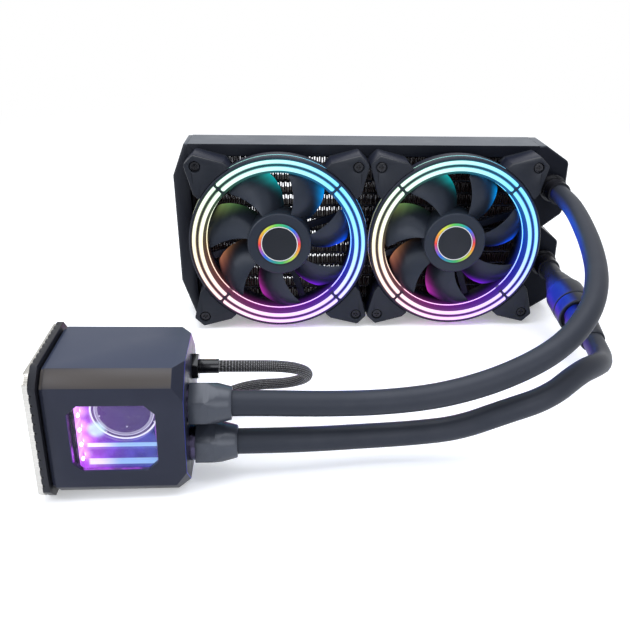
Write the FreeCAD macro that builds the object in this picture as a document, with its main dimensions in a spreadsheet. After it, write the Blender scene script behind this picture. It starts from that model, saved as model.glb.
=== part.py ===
import FreeCAD, Part
import math
import os
import Sketcher
from FreeCAD import Placement, Rotation, Vector

# A closed-loop liquid cooler: a radiator for two 120 mm fans stands on its
# long edge, two light-ring fans sit on its front, and two hoses and a sleeved
# lead run to a pump block that lies on its side in front of it.
# Origin: middle of the radiator's underside. X runs along the radiator,
# Y from front to back, Z up. Millimetres.

os.makedirs("parts", exist_ok=True)
doc = FreeCAD.newDocument("liquidCooler")

# Driving dimensions in millimetres; angles in degrees, counts plain.
dimensions = {
    # radiator core and sheet-metal sides
    "radiatorRise": 4,
    "radiatorDepth": 30,
    "sideShort": 1,
    "sheetWall": 1.2,
    "lipHeight": 8,
    "tabHeight": 15,
    "tabWidth": 13,
    "tubeThick": 1.8,
    "tubeCount": 13,
    "coreDepth": 15,
    "finPitch": 14,
    "finSheet": 0.6,
    "headerThick": 1.5,
    "headerMargin": 1,
    # end tanks
    "tankWall": 2,
    "tankEdge": 1,
    "leftReach": 11,
    "leftShoulderTop": 21.5,
    "leftShoulderLow": 27,
    "leftCut": 2.5,
    "rightReach": 22,
    "rightCut": 17,
    "lobeShoulder": 11,
    "lobeCorner": 4,
    "notchReach": 8.5,
    "notchRise": 3.5,
    "notchOpen": 21,
    "portAcross": 12,
    "portTop": 29,
    "portLow": 39.3,
    # fans
    "fanSize": 120,
    "fanThick": 25,
    "screwEdge": 7.5,
    "ringInset": 0.3,
    "ringDepth": 14,
    "ringBand": 10.8,
    "ringEdge": 0.8,
    "ductWall": 2.4,
    "lightRim": 2.1,
    "lightOuterBand": 2.6,
    "lightRib": 1.5,
    "lightInnerBand": 2.9,
    "lightProud": 0.2,
    "lightGap": 1.8,
    "channelDepth": 5,
    "boardThick": 1.2,
    "bridgeDepth": 3,
    "cornerOut": 7.2,
    "cornerIn": 1.1,
    "cornerLong": 17.8,
    "cornerStep": 4.9,
    "cornerNeck": 2.6,
    "padThick": 3,
    "padDrop": 0.5,
    "padGap": 0.3,
    "screwRadius": 1.5,
    "screwClearance": 0.2,
    "screwHeadRadius": 2.9,
    "screwHeadHeight": 1.9,
    "screwReach": 3.4,
    "screwSlotLong": 3.4,
    "screwSlotWide": 0.8,
    "screwSlotDeep": 1.1,
    "recessRadius": 3.6,
    "motorBaseRadius": 20.5,
    "motorBaseThick": 3.2,
    "strutWidth": 4.4,
    "strutTurn": 18,
    "bossRadius": 4.2,
    "bossTop": 17,
    "bearingRadius": 2.6,
    "boreBottom": 1.5,
    "fanShaftRadius": 1.5,
    "runningFit": 0.05,
    "hubRadius": 21.5,
    "hubWall": 1.5,
    "hubBottom": 4.2,
    "hubTop": 23.5,
    "hubSkin": 1.4,
    "hubBossRadius": 4,
    "hubBossDepth": 2.3,
    "hubEdge": 1.2,
    "labelRadius": 15.4,
    "labelThick": 0.4,
    "bladeCount": 7,
    "bladePhase": 6.8,
    "bladeTipGap": 0.9,
    "bladeMiddle": 13,
    "bladeThick": 1.9,
    "bladeBlunt": 0.7,
    "yokeThick": 3.2,
    "yokeEdge": 1,
    "statorRadius": 15.9,
    "statorBottom": 6,
    "statorThick": 9,
    "poleWidth": 4,
    "poleArm": 11,
    "poleShoe": 3,
    # pump block, measured from the outer face of the cold plate
    "blockTurn": 1.2,
    "blockTilt": 1.8,
    "blockWidth": 66.5,
    "blockDepth": 56,
    "blockCut": 6.8,
    "casingFoot": 6.4,
    "casingStart": 7.8,
    "casingTop": 68.1,
    "casingInset": 0.8,
    "casingWall": 2.5,
    "topWall": 3,
    "cornerAlong": 5.5,
    "cornerAcross": 4.4,
    "plateThick": 2.6,
    "plateFront": 1,
    "plateInset": 0.5,
    "plateCut": 3.5,
    "ringMargin": 2,
    "ringCut": 7.6,
    "ringThick": 3.2,
    "toothPitch": 4.8,
    "toothDepth": 1.5,
    "toothWidth": 1.9,
    "toothBite": 1.5,
    "baseTop": 16.5,
    "innerCut": 5.8,
    "seatClearance": 0.1,
    "chamberHalf": 15.5,
    "chamberDepth": 3.6,
    "plateScrewInset": 6.9,
    "plateScrewHead": 2.7,
    "plateScrewRadius": 1.25,
    "plateScrewLength": 8,
    "plateScrewSunk": 0.4,
    "plateScrewSocket": 1.3,
    "plateScrewSocketDeep": 0.9,
    "plateFinCount": 11,
    "plateFinPitch": 2.8,
    "plateFinThick": 1,
    "sealInner": 22.6,
    "sealOuter": 24.4,
    "sealHeight": 1.2,
    "wayRadius": 3,
    "wayAcross": 10,
    "windowCentre": 36,
    "windowLength": 38.5,
    "windowHeight": 35,
    "windowCut": 4.6,
    "windowRecess": 1,
    "windowThick": 1.5,
    "stripWidth": 5,
    "stripLength": 42,
    "stripThick": 1.2,
    "stripSetBack": 3,
    "ledCount": 5,
    "ledSide": 2.6,
    "ledHeight": 1.3,
    "ledPitch": 8,
    "tankGap": 0.4,
    "tankClear": 1,
    "reservoirWall": 2,
    "motorRoom": 20.5,
    "shelfThick": 2.4,
    "shelfDeep": 9,
    "shelfLow": 12.5,
    "shelfHigh": 2,
    "pumpAcross": -13.5,
    "pumpAlong": 43.5,
    "pumpRadius": 16,
    "pumpBevel": 5.2,
    "coverRadius": 15,
    "coverDepth": 15,
    "coverWall": 1.6,
    "inletRadius": 3.5,
    "canRadius": 7.6,
    "canWall": 0.8,
    "canDepth": 13,
    "impellerRadius": 11.5,
    "impellerDisc": 1.4,
    "vaneCount": 6,
    "vaneHeight": 4,
    "vaneThick": 1.1,
    "vaneLag": 4.5,
    "eyeRadius": 3,
    "magnetRadius": 6.3,
    "magnetLength": 11,
    "pumpShaftRadius": 1.1,
    "pumpStatorRadius": 14,
    "pumpStatorThick": 8,
    # hose and lead connections
    "hoseRadius": 6.35,
    "hoseBore": 4.75,
    "flowBore": 3.6,
    "hosePortAcross": -10,
    "hosePortHigh": -7.75,
    "hosePortLow": 14.25,
    "threadRadius": 6.55,
    "flangeRadius": 8.9,
    "flangeHigh": 0.6,
    "flangeLow": 3,
    "barbLength": 14,
    "bootFlats": 19.6,
    "bootLength": 20,
    "bootSpread": 13.2,
    "bootMouth": 8,
    "bootFit": 0.05,
    "hoseInset": 6,
    "hoseFirstRun": 27,
    "hoseLastRun": 16,
    "leadFirstRun": 20,
    "glandHigh": -14.75,
    "glandAcross": 14,
    "glandFlats": 12.4,
    "glandThick": 3,
    "glandThread": 4,
    "sleeveRadius": 3.65,
    "sleeveLength": 9.9,
    "leadRadius": 3,
    "leadFit": 0.05,
    # radiator port fittings
    "portFlangeRadius": 9.6,
    "portFlangeThick": 3,
    "portCollarRadius": 8.6,
    "portCollarEnd": 7,
    "portBarbEnd": 21,
    "cuffEnd": 17,
    "cuffRadius": 7.9,
    # quick coupling
    "couplingStart": 11.24,
    "socketNeck": 7,
    "socketRadius": 12.8,
    "socketConeEnd": 23,
    "socketEnd": 40.4,
    "socketBore": 8.6,
    "plugRadius": 8.5,
    "plugEnd": 82,
    "plugShoulder": 56,
    "plugShoulderRadius": 10,
    "plugShoulderEnd": 61,
    "plugMouth": 7.5,
    "collarRadius": 12.6,
    "collarStart": 41,
    "collarEnd": 52,
    "collarDish": 1.6,
    # lead coil and its plug
    "coilRadius": 32,
    "coilTurns": 2,
    "tailLength": 34,
    "floorGap": 0.1,
    "plugLength": 16,
    "plugWidth": 12,
    "plugHeight": 7,
    "wayPitch": 2.4,
    "waySide": 1.6,
    "wayDeep": 8,
    "railHeight": 1,
}

# Fan blade sections from the root out: share of the way from root to tip,
# sideways sweep, chord, pitch in degrees, and camber.
bladeSections = [
    {"reach": 0, "sweep": 0, "chord": 17, "pitch": 64, "camber": 1.6},
    {"reach": 0.36, "sweep": 0.8, "chord": 19.5, "pitch": 43, "camber": 2.4},
    {"reach": 0.73, "sweep": 6, "chord": 24, "pitch": 31, "camber": 2.8},
    {"reach": 1, "sweep": 11.4, "chord": 26, "pitch": 27, "camber": 2.2},
]

sheet = doc.addObject("Spreadsheet::Sheet", "sizes")
for row, (alias, number) in enumerate(dimensions.items(), start=1):
    sheet.set("A%d" % row, alias)
    sheet.set("B%d" % row, repr(number))
    sheet.setAlias("B%d" % row, alias)
doc.recompute()


class Size:
    # A length together with the formula that works it out from the sheet.
    def __init__(self, value, formula):
        self.value = value
        self.formula = formula

    def join(self, sign, other, value):
        return Size(value, "(%s %s %s)" % (self.formula, sign, asSize(other).formula))

    def __add__(self, other):
        return self.join("+", other, self.value + asSize(other).value)

    def __sub__(self, other):
        return self.join("-", other, self.value - asSize(other).value)

    def __mul__(self, other):
        return self.join("*", other, self.value * asSize(other).value)

    def __truediv__(self, other):
        return self.join("/", other, self.value / asSize(other).value)

    def __radd__(self, other):
        return asSize(other) + self

    def __rsub__(self, other):
        return asSize(other) - self

    def __rmul__(self, other):
        return asSize(other) * self

    def __neg__(self):
        return Size(-self.value, "(0 - %s)" % self.formula)


def asSize(number):
    return number if isinstance(number, Size) else Size(number, repr(number))


class Sizes:
    pass


size = Sizes()
for alias, number in dimensions.items():
    setattr(size, alias, Size(number, "sizes." + alias))

# Lengths that follow from the fan's size.
size.screwSquare = size.fanSize - 2 * size.screwEdge
size.ringRadius = size.fanSize / 2 - size.ringInset
size.ductRadius = size.ringRadius - size.ringBand
size.bladeTipRadius = size.ductRadius - size.bladeTipGap
size.lightOuter = size.ringRadius - size.lightRim
size.lightSplitOuter = size.lightOuter - size.lightOuterBand
size.lightSplitInner = size.lightSplitOuter - size.lightRib
size.lightInner = size.lightSplitInner - size.lightInnerBand
size.sideLength = 2 * size.fanSize - size.sideShort
size.radiatorHeight = size.fanSize + size.radiatorRise
size.leftShoulderHigh = size.radiatorHeight - size.leftShoulderTop
size.notchTop = size.radiatorHeight / 2 + size.notchRise + size.notchOpen / 2
size.notchBottom = size.notchTop - size.notchOpen
size.portHigh = size.radiatorHeight - size.portTop
# The reservoir takes the block's depth less the room for the pump motor.
size.reservoirDepth = size.blockDepth - 2 * size.casingWall - size.motorRoom


def bind(thing, name, length):
    length = asSize(length)
    if "sizes." in length.formula:
        thing.setExpression(name, length.formula)
    elif "." not in name:
        setattr(thing, name, length.value)


# Sketches: every point and radius is held by a named value.

def originPart(body, role):
    return [part for part in body.Origin.OriginFeatures if part.Role == role][0]


def sketchOn(body, name, plane="XY_Plane", offset=0):
    sketch = body.newObject("Sketcher::SketchObject", name)
    sketch.AttachmentSupport = [(originPart(body, plane), "")]
    sketch.MapMode = "FlatFace"
    offset = asSize(offset)
    sketch.AttachmentOffset = Placement(Vector(0, 0, offset.value), Rotation())
    bind(sketch, "AttachmentOffset.Base.z", offset)
    return sketch


def looseSketch(name, height=0):
    sketch = doc.addObject("Sketcher::SketchObject", name)
    height = asSize(height)
    sketch.Placement = Placement(Vector(0, 0, height.value), Rotation())
    bind(sketch, "Placement.Base.z", height)
    return sketch


def pin(sketch, geometry, point, across, along):
    for kind, length in (("DistanceX", asSize(across)), ("DistanceY", asSize(along))):
        held = Sketcher.Constraint(kind, -1, 1, geometry, point, float(length.value))
        index = sketch.addConstraint(held)
        if "sizes." in length.formula:
            sketch.setExpression("Constraints[%d]" % index, length.formula)


def outline(sketch, points):
    first = sketch.GeometryCount
    count = len(points)
    spots = [Vector(asSize(x).value, asSize(y).value, 0) for x, y in points]
    for index in range(count):
        side = Part.LineSegment(spots[index], spots[(index + 1) % count])
        sketch.addGeometry(side, False)
    for index in range(count):
        following = first + (index + 1) % count
        sketch.addConstraint(Sketcher.Constraint("Coincident", first + index, 2, following, 1))
    for index, (x, y) in enumerate(points):
        pin(sketch, first + index, 1, x, y)
    return sketch


def circle(sketch, radius, x=0, y=0):
    radius = asSize(radius)
    centre = Vector(asSize(x).value, asSize(y).value, 0)
    index = sketch.addGeometry(Part.Circle(centre, Vector(0, 0, 1), radius.value), False)
    pin(sketch, index, 3, x, y)
    held = sketch.addConstraint(Sketcher.Constraint("Radius", index, float(radius.value)))
    if "sizes." in radius.formula:
        sketch.setExpression("Constraints[%d]" % held, radius.formula)
    return sketch


def rectangle(sketch, left, low, right, high):
    return outline(sketch, [(left, low), (right, low), (right, high), (left, high)])


def octagon(sketch, halfX, halfY, cut, x=0, y=0):
    # rectangle with its four corners cut at 45 degrees
    corners = []
    for sx, sy, order in ((1, 1, 0), (-1, 1, 1), (-1, -1, 0), (1, -1, 1)):
        pair = [(x + sx * halfX, y + sy * (halfY - cut)), (x + sx * (halfX - cut), y + sy * halfY)]
        corners += pair if order == 0 else pair[::-1]
    return outline(sketch, corners)


# Features.

def bodyNamed(name):
    return doc.addObject("PartDesign::Body", name)


def pad(body, sketch, length, name, reverse=False):
    feature = body.newObject("PartDesign::Pad", name)
    feature.Profile = sketch
    bind(feature, "Length", length)
    feature.Reversed = reverse
    return feature


def pocket(body, sketch, length, name, reverse=False):
    feature = body.newObject("PartDesign::Pocket", name)
    feature.Profile = sketch
    bind(feature, "Length", length)
    feature.Reversed = reverse
    return feature


def revolve(body, points, name, cut=False):
    # turned about the vertical axis; each point is (radius, height)
    sketch = sketchOn(body, name + "Profile", "XZ_Plane")
    outline(sketch, points)
    kind = "PartDesign::Groove" if cut else "PartDesign::Revolution"
    feature = body.newObject(kind, name)
    feature.Profile = sketch
    feature.ReferenceAxis = (sketch, ["V_Axis"])
    feature.Angle = 360
    return feature


def patternAround(body, features, count, name):
    feature = body.newObject("PartDesign::PolarPattern", name)
    feature.Originals = features
    feature.Axis = (originPart(body, "Z_Axis"), [""])
    feature.Angle = 360
    bind(feature, "Occurrences", count)
    body.Tip = feature
    return feature


def patternAlong(body, features, role, pitch, count, name, reverse=False):
    feature = body.newObject("PartDesign::LinearPattern", name)
    feature.Originals = features
    feature.Direction = (originPart(body, role), [""])
    feature.Mode = "Spacing"
    bind(feature, "Offset", pitch)
    bind(feature, "Occurrences", count)
    feature.Reversed = reverse
    body.Tip = feature
    return feature


def cylinder(name, radius, height, x=0, y=0, z=0):
    solid = doc.addObject("Part::Cylinder", name)
    bind(solid, "Radius", radius)
    bind(solid, "Height", height)
    return moveTo(solid, x, y, z)


def block(name, length, width, height, x=0, y=0, z=0):
    solid = doc.addObject("Part::Box", name)
    bind(solid, "Length", length)
    bind(solid, "Width", width)
    bind(solid, "Height", height)
    return moveTo(solid, x, y, z)


def moveTo(solid, x, y, z):
    spot = [asSize(x), asSize(y), asSize(z)]
    solid.Placement = Placement(Vector(*[place.value for place in spot]), Rotation())
    for axis, place in zip("xyz", spot):
        bind(solid, "Placement.Base." + axis, place)
    return solid


def cut(name, base, tool):
    solid = doc.addObject("Part::Cut", name)
    solid.Base = base
    solid.Tool = tool
    return solid


def common(name, base, tool):
    solid = doc.addObject("Part::Common", name)
    solid.Base = base
    solid.Tool = tool
    return solid


def fuse(name, solids):
    whole = doc.addObject("Part::MultiFuse", name)
    whole.Shapes = solids
    return whole


def group(name, solids):
    whole = doc.addObject("Part::Compound", name)
    whole.Links = solids
    return whole


def tubePiece(name, outer, inner, bottom, top, x=0, y=0):
    # plain ring between two heights
    shell = cylinder(name + "Outer", outer, top - bottom, x, y, bottom)
    bore = cylinder(name + "Bore", inner, top - bottom, x, y, bottom)
    return cut(name + "Ring", shell, bore)


def extrude(name, sketch, length):
    solid = doc.addObject("Part::Extrusion", name)
    solid.Base = sketch
    solid.DirMode = "Custom"
    solid.Dir = Vector(0, 0, 1)
    bind(solid, "LengthFwd", length)
    solid.Solid = True
    return solid


nodes = []


def publish(thing, label, frame=None, bound=None):
    # a sub-part: its label names its file, its placement puts it in the whole
    thing.Label = label
    if frame is not None:
        thing.Placement = frame
    for axis, place in (bound or {}).items():
        bind(thing, "Placement.Base." + axis, place)
    nodes.append(thing)
    return thing


# Radiator.

def buildCore():
    half = size.sideLength.value / 2
    height = size.radiatorHeight.value
    inner = height - 2 * size.sheetWall.value
    count = dimensions["tubeCount"]
    thick = size.tubeThick.value
    gap = (inner - count * thick) / (count + 1)
    depth = size.coreDepth.value
    floor = size.sheetWall.value
    # flat tubes with rounded edges
    tubes = []
    for index in range(count):
        low = floor + gap * (index + 1) + thick * index
        radius = thick / 2
        front = -depth / 2 + radius
        back = depth / 2 - radius
        profile = Part.Wire([
            Part.LineSegment(Vector(0, front, low), Vector(0, back, low)).toShape(),
            Part.Arc(Vector(0, back, low), Vector(0, back + radius, low + radius),
                     Vector(0, back, low + thick)).toShape(),
            Part.LineSegment(Vector(0, back, low + thick), Vector(0, front, low + thick)).toShape(),
            Part.Arc(Vector(0, front, low + thick), Vector(0, front - radius, low + radius),
                     Vector(0, front, low)).toShape(),
        ])
        tube = Part.Face(profile).extrude(Vector(2 * half, 0, 0))
        tube.translate(Vector(-half, 0, 0))
        tubes.append(tube)
    tubeRow = doc.addObject("Part::Feature", "tubes")
    tubeRow.Shape = Part.makeCompound(tubes)
    publish(tubeRow, "radiator_tubes", Placement())
    # folded fin strips, one between each two tubes
    sheetThick = size.finSheet.value
    side = half - size.headerThick.value
    folds = int(2 * side / size.finPitch.value)
    pitch = 2 * side / folds
    strips = []
    for row in range(count + 1):
        low = floor + row * (gap + thick)
        high = low + gap
        upper = []
        lower = []
        for fold in range(2 * folds + 1):
            x = -side + fold * pitch / 2
            isTop = fold % 2 == 1
            upper.append(Vector(x, -depth / 2, high if isTop else low + sheetThick))
            lower.append(Vector(x, -depth / 2, high - sheetThick if isTop else low))
        loop = Part.makePolygon(upper + lower[::-1] + [upper[0]])
        strips.append(Part.Face(loop).extrude(Vector(0, depth, 0)))
    fins = doc.addObject("Part::Feature", "fins")
    fins.Shape = Part.makeCompound(strips)
    publish(fins, "radiator_fins", Placement())
    # end plates that take the tube ends
    plates = []
    for sign in (-1, 1):
        near = half - size.headerThick.value if sign > 0 else -half
        margin = size.headerMargin.value
        plate = Part.makeBox(size.headerThick.value, depth + 2 * margin, inner,
                             Vector(near, -depth / 2 - margin, floor))
        for tube in tubes:
            plate = plate.cut(tube)
        plates.append(plate)
    header = doc.addObject("Part::Feature", "headers")
    header.Shape = Part.makeCompound(plates)
    publish(header, "header_plates", Placement())


def buildSideFrame(label, upper):
    # folded channel with threaded tabs for the fan screws
    body = bodyNamed(label)
    halfDepth = size.radiatorDepth / 2
    halfLength = size.sideLength / 2
    wall = size.sheetWall
    profile = sketchOn(body, label + "Channel", "YZ_Plane", -halfLength)
    outline(profile, [
        (-halfDepth, -size.lipHeight), (-halfDepth, 0), (halfDepth, 0), (halfDepth, -size.lipHeight),
        (halfDepth - wall, -size.lipHeight), (halfDepth - wall, -wall),
        (wall - halfDepth, -wall), (wall - halfDepth, -size.lipHeight)])
    pad(body, profile, size.sideLength, label + "Fold")
    screwDrop = size.radiatorHeight / 2 - size.screwSquare / 2
    for face, offset in (("Front", halfDepth - wall), ("Back", -halfDepth)):
        tabs = sketchOn(body, label + face + "Tabs", "XZ_Plane", offset)
        for fan in (-1, 1):
            for side in (-1, 1):
                middle = fan * size.fanSize / 2 + side * size.screwSquare / 2
                rectangle(tabs, middle - size.tabWidth / 2, -size.tabHeight,
                          middle + size.tabWidth / 2, -wall)
        pad(body, tabs, wall, label + face + "TabPad")
        holes = sketchOn(body, label + face + "Holes", "XZ_Plane", offset)
        for fan in (-1, 1):
            for side in (-1, 1):
                middle = fan * size.fanSize / 2 + side * size.screwSquare / 2
                circle(holes, size.screwRadius, middle, -screwDrop)
        pocket(body, holes, wall, label + face + "Drill", reverse=True)
    if upper:
        frame = Placement(Vector(0, 0, size.radiatorHeight.value), Rotation())
        publish(body, label, frame, {"z": size.radiatorHeight})
    else:
        publish(body, label, Placement(Vector(), Rotation(Vector(0, 1, 0), 180)))


def edgesAlong(shape, direction, near):
    # names of the straight edges that run one way and pass a test on their middle
    found = []
    for index, edge in enumerate(shape.Edges, start=1):
        if len(edge.Vertexes) != 2:
            continue
        run = edge.Vertexes[1].Point - edge.Vertexes[0].Point
        if run.Length < 1e-6 or abs(abs(run.normalize() * direction) - 1) > 1e-4:
            continue
        middle = edge.valueAt((edge.FirstParameter + edge.LastParameter) / 2)
        if near(middle):
            found.append("Edge%d" % index)
    return found


def buildTank(label, points, pockets, ports=()):
    body = bodyNamed(label)
    halfDepth = size.radiatorDepth / 2
    front = sketchOn(body, label + "Outline", "XZ_Plane", -halfDepth)
    outline(front, points)
    whole = pad(body, front, size.radiatorDepth, label + "Block")
    doc.recompute()
    if ports:
        lobeEnd = (size.sideLength / 2 + size.rightReach).value
        rounding = body.newObject("PartDesign::Fillet", label + "Corners")
        names = edgesAlong(whole.Shape, Vector(0, 1, 0), lambda spot: abs(spot.x - lobeEnd) < 0.5)
        rounding.Base = (whole, names)
        bind(rounding, "Radius", size.lobeCorner)
        body.Tip = rounding
        doc.recompute()
        whole = rounding
    rim = body.newObject("PartDesign::Chamfer", label + "Rim")
    names = []
    half = halfDepth.value
    for index, edge in enumerate(whole.Shape.Edges, start=1):
        box = edge.BoundBox
        flat = box.YLength < 1e-4 and abs(abs(box.YMin) - half) < 1e-4
        inside = max(abs(box.XMin), abs(box.XMax)) < size.sideLength.value / 2 + 0.01
        if flat and not inside:
            names.append("Edge%d" % index)
    rim.Base = (whole, names)
    bind(rim, "Size", size.tankEdge)
    body.Tip = rim
    for index, (left, low, right, high) in enumerate(pockets):
        hollow = sketchOn(body, "%sHollow%d" % (label, index), "XZ_Plane",
                          size.tankWall - halfDepth)
        rectangle(hollow, left, low, right, high)
        pocket(body, hollow, size.radiatorDepth - 2 * size.tankWall,
               "%sCavity%d" % (label, index), reverse=True)
    if ports:
        drill = sketchOn(body, label + "Ports", "XZ_Plane", halfDepth)
        for height in ports:
            circle(drill, size.threadRadius, size.sideLength / 2 + size.portAcross, height)
        pocket(body, drill, size.tankWall + 1, label + "PortDrill")
    publish(body, label, Placement())


def buildRadiator():
    buildCore()
    buildSideFrame("side_frame_top", True)
    buildSideFrame("side_frame_bottom", False)
    end = size.sideLength / 2
    height = size.radiatorHeight
    wall = size.tankWall
    reach = end + size.leftReach
    buildTank("tank_left", [
        (-end, 0), (-end - size.leftCut, 0), (-reach, size.leftShoulderLow),
        (-reach, size.leftShoulderHigh), (-end - size.leftCut, height), (-end, height)],
        [(-reach + wall, size.leftShoulderLow, -end, size.leftShoulderHigh)])
    reach = end + size.rightReach
    notch = end + size.notchReach
    shoulder = size.lobeShoulder
    middle = (size.notchTop + size.notchBottom) / 2
    buildTank("tank_right", [
        (end, 0), (reach - size.rightCut, 0), (reach, shoulder),
        (reach, size.notchBottom), (notch, middle), (reach, size.notchTop),
        (reach, height - shoulder), (reach - size.rightCut, height), (end, height)],
        [(end, shoulder, notch - wall, height - shoulder),
         (notch - wall - 1, shoulder + wall, reach - wall, size.notchBottom - wall),
         (notch - wall - 1, size.notchTop + wall, reach - wall, height - shoulder - wall)],
        ports=(size.portLow, size.portHigh))


# Fans, built about their own axis with the rear face at zero.

def cornerPads(sketch, inner):
    # four cut-corner pads round the screws; inner gives the points at the ring
    screw = size.screwSquare / 2
    tip = screw + size.cornerOut
    near = screw + size.cornerIn
    far = tip - size.cornerStep
    back = tip - size.cornerOut - size.cornerLong
    shape = [(near, tip), (tip, near), (far, back)] + inner + [(back, far)]
    for sx, sy in ((1, 1), (-1, 1), (-1, -1), (1, -1)):
        points = [(sx * x, sy * y) for x, y in shape]
        outline(sketch, points if sx * sy > 0 else points[::-1])
    return sketch


def ringPoints(radius, angles):
    # points on a circle, so that the pads meet the ring's outer wall
    found = []
    for angle in angles:
        turn = math.radians(angle)
        found.append((radius * math.cos(turn), radius * math.sin(turn)))
    return found


def screwSpots():
    half = size.screwSquare / 2
    return [(sx * half, sy * half) for sx in (-1, 1) for sy in (-1, 1)]


def buildFanFrame(body, label):
    thick = size.fanThick
    ringBack = thick - size.ringDepth
    duct = size.ductRadius
    seat = thick - size.channelDepth
    edge = size.ringEdge
    revolve(body, [
        (duct, 0), (duct + size.ductWall, 0), (duct + size.ductWall, ringBack),
        (size.ringRadius - edge, ringBack), (size.ringRadius, ringBack + edge),
        (size.ringRadius, thick - edge), (size.ringRadius - edge, thick),
        (size.lightOuter, thick), (size.lightOuter, seat), (size.lightInner, seat),
        (size.lightInner, thick), (duct + edge / 2, thick), (duct, thick - edge)],
        label + "Ring")
    # four bridges across the light channel carry the rib between the bands
    bridges = sketchOn(body, label + "Bridges", "XY_Plane", thick - size.bridgeDepth)
    half = size.lightGap / 2 * math.sqrt(0.5)
    for sx, sy in ((1, 1), (-1, 1), (-1, -1), (1, -1)):
        near = (size.lightInner - 0.6) * math.sqrt(0.5)
        far = (size.lightOuter + 0.6) * math.sqrt(0.5)
        points = [(near + half, near - half), (far + half, far - half),
                  (far - half, far + half), (near - half, near + half)]
        points = [(sx * x, sy * y) for x, y in points]
        outline(bridges, points if sx * sy > 0 else points[::-1])
    pad(body, bridges, size.bridgeDepth, label + "Bridge")
    revolve(body, [
        (size.lightSplitInner, thick - size.bridgeDepth), (size.lightSplitOuter, thick - size.bridgeDepth),
        (size.lightSplitOuter, thick), (size.lightSplitInner, thick)], label + "Rib")
    # corner columns, down to the duct behind the ring and to its wall beside it
    angles = (31, 38, 45, 52, 59)
    low = sketchOn(body, label + "ColumnsLow", "XY_Plane", size.padThick)
    cornerPads(low, ringPoints(duct + size.ductWall - 0.4, angles))
    pad(body, low, ringBack + 1 - size.padThick, label + "ColumnLow")
    high = sketchOn(body, label + "ColumnsHigh", "XY_Plane", ringBack)
    cornerPads(high, ringPoints(size.ringRadius - 0.6, angles))
    pad(body, high, size.ringDepth - size.padThick - size.padDrop, label + "ColumnHigh")
    holes = sketchOn(body, label + "ScrewHoles", "XY_Plane", thick)
    for x, y in screwSpots():
        circle(holes, size.screwRadius + size.screwClearance, x, y)
    pocket(body, holes, thick, label + "ScrewBore")
    # motor base on four raked struts
    struts = sketchOn(body, label + "Struts", "XY_Plane")
    turn = math.radians(dimensions["strutTurn"])
    reach = duct + size.ductWall / 2
    start = size.motorBaseRadius - 3
    for quarter in range(4):
        angle = turn + quarter * math.pi / 2
        ux, uy = math.cos(angle), math.sin(angle)
        side = size.strutWidth / 2
        outline(struts, [
            (start * ux + side * uy, start * uy - side * ux),
            (reach * ux + side * uy, reach * uy - side * ux),
            (reach * ux - side * uy, reach * uy + side * ux),
            (start * ux - side * uy, start * uy + side * ux)])
    pad(body, struts, size.motorBaseThick, label + "Strut")
    base = sketchOn(body, label + "MotorBase", "XY_Plane")
    circle(base, size.motorBaseRadius)
    pad(body, base, size.motorBaseThick, label + "Base")
    boss = sketchOn(body, label + "Boss", "XY_Plane", size.motorBaseThick)
    circle(boss, size.bossRadius)
    pad(body, boss, size.bossTop - size.motorBaseThick, label + "BossPad")
    bore = sketchOn(body, label + "Bore", "XY_Plane", size.bossTop)
    circle(bore, size.bearingRadius)
    pocket(body, bore, size.bossTop - size.boreBottom, label + "BearingBore")


def buildPads(name):
    ring = size.ringRadius + size.padGap
    angles = (31, 38, 45, 52, 59)
    top = size.fanThick - size.padDrop - size.padThick
    layers = []
    for layer, height, hole in (("Front", top, size.recessRadius),
                                ("Rear", 0, size.screwRadius + size.screwClearance)):
        sketch = looseSketch(name + layer, height)
        cornerPads(sketch, ringPoints(ring, angles))
        for x, y in screwSpots():
            circle(sketch, hole, x, y)
        layers.append(extrude(name + layer + "Pads", sketch, size.padThick))
    return group(name, layers)


def arcSlot(sketch, inner, outer, start, stop):
    # curved bar with round ends; the angles are those of its end circles
    middle = (inner + outer) / 2

    def spot(radius, angle):
        return Vector(radius * math.cos(angle), radius * math.sin(angle), 0)

    first = sketch.GeometryCount
    half = (start + stop) / 2
    sketch.addGeometry(Part.Arc(spot(outer, start), spot(outer, half), spot(outer, stop)), False)
    sketch.addGeometry(Part.Arc(spot(inner, start), spot(inner, half), spot(inner, stop)), False)
    for angle, sign in ((start, -1), (stop, 1)):
        tip = spot(middle, angle)
        tip += Vector(-math.sin(angle), math.cos(angle), 0) * sign * (outer - inner) / 2
        sketch.addGeometry(Part.Arc(spot(inner, angle), tip, spot(outer, angle)), False)
    for index in range(first, sketch.GeometryCount):
        sketch.addConstraint(Sketcher.Constraint("Block", index))


def buildLights(name):
    # the two lit bands, each in four round-ended arcs between the bridges
    bottom = size.fanThick - size.channelDepth + size.boardThick
    top = size.fanThick + size.lightProud
    bands = []
    for band, outer, inner in (("Outer", size.lightOuter, size.lightSplitOuter),
                               ("Inner", size.lightSplitInner, size.lightInner)):
        sketch = looseSketch(name + band, bottom)
        middle = (outer + inner).value / 2
        back = math.asin((size.lightGap + outer - inner).value / 2 / middle)
        for quarter in range(4):
            start = (quarter + 0.5) * math.pi / 2
            arcSlot(sketch, inner.value, outer.value, start + back, start + math.pi / 2 - back)
        bands.append(extrude(name + band + "Band", sketch, top - bottom))
    return group(name, bands)


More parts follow.
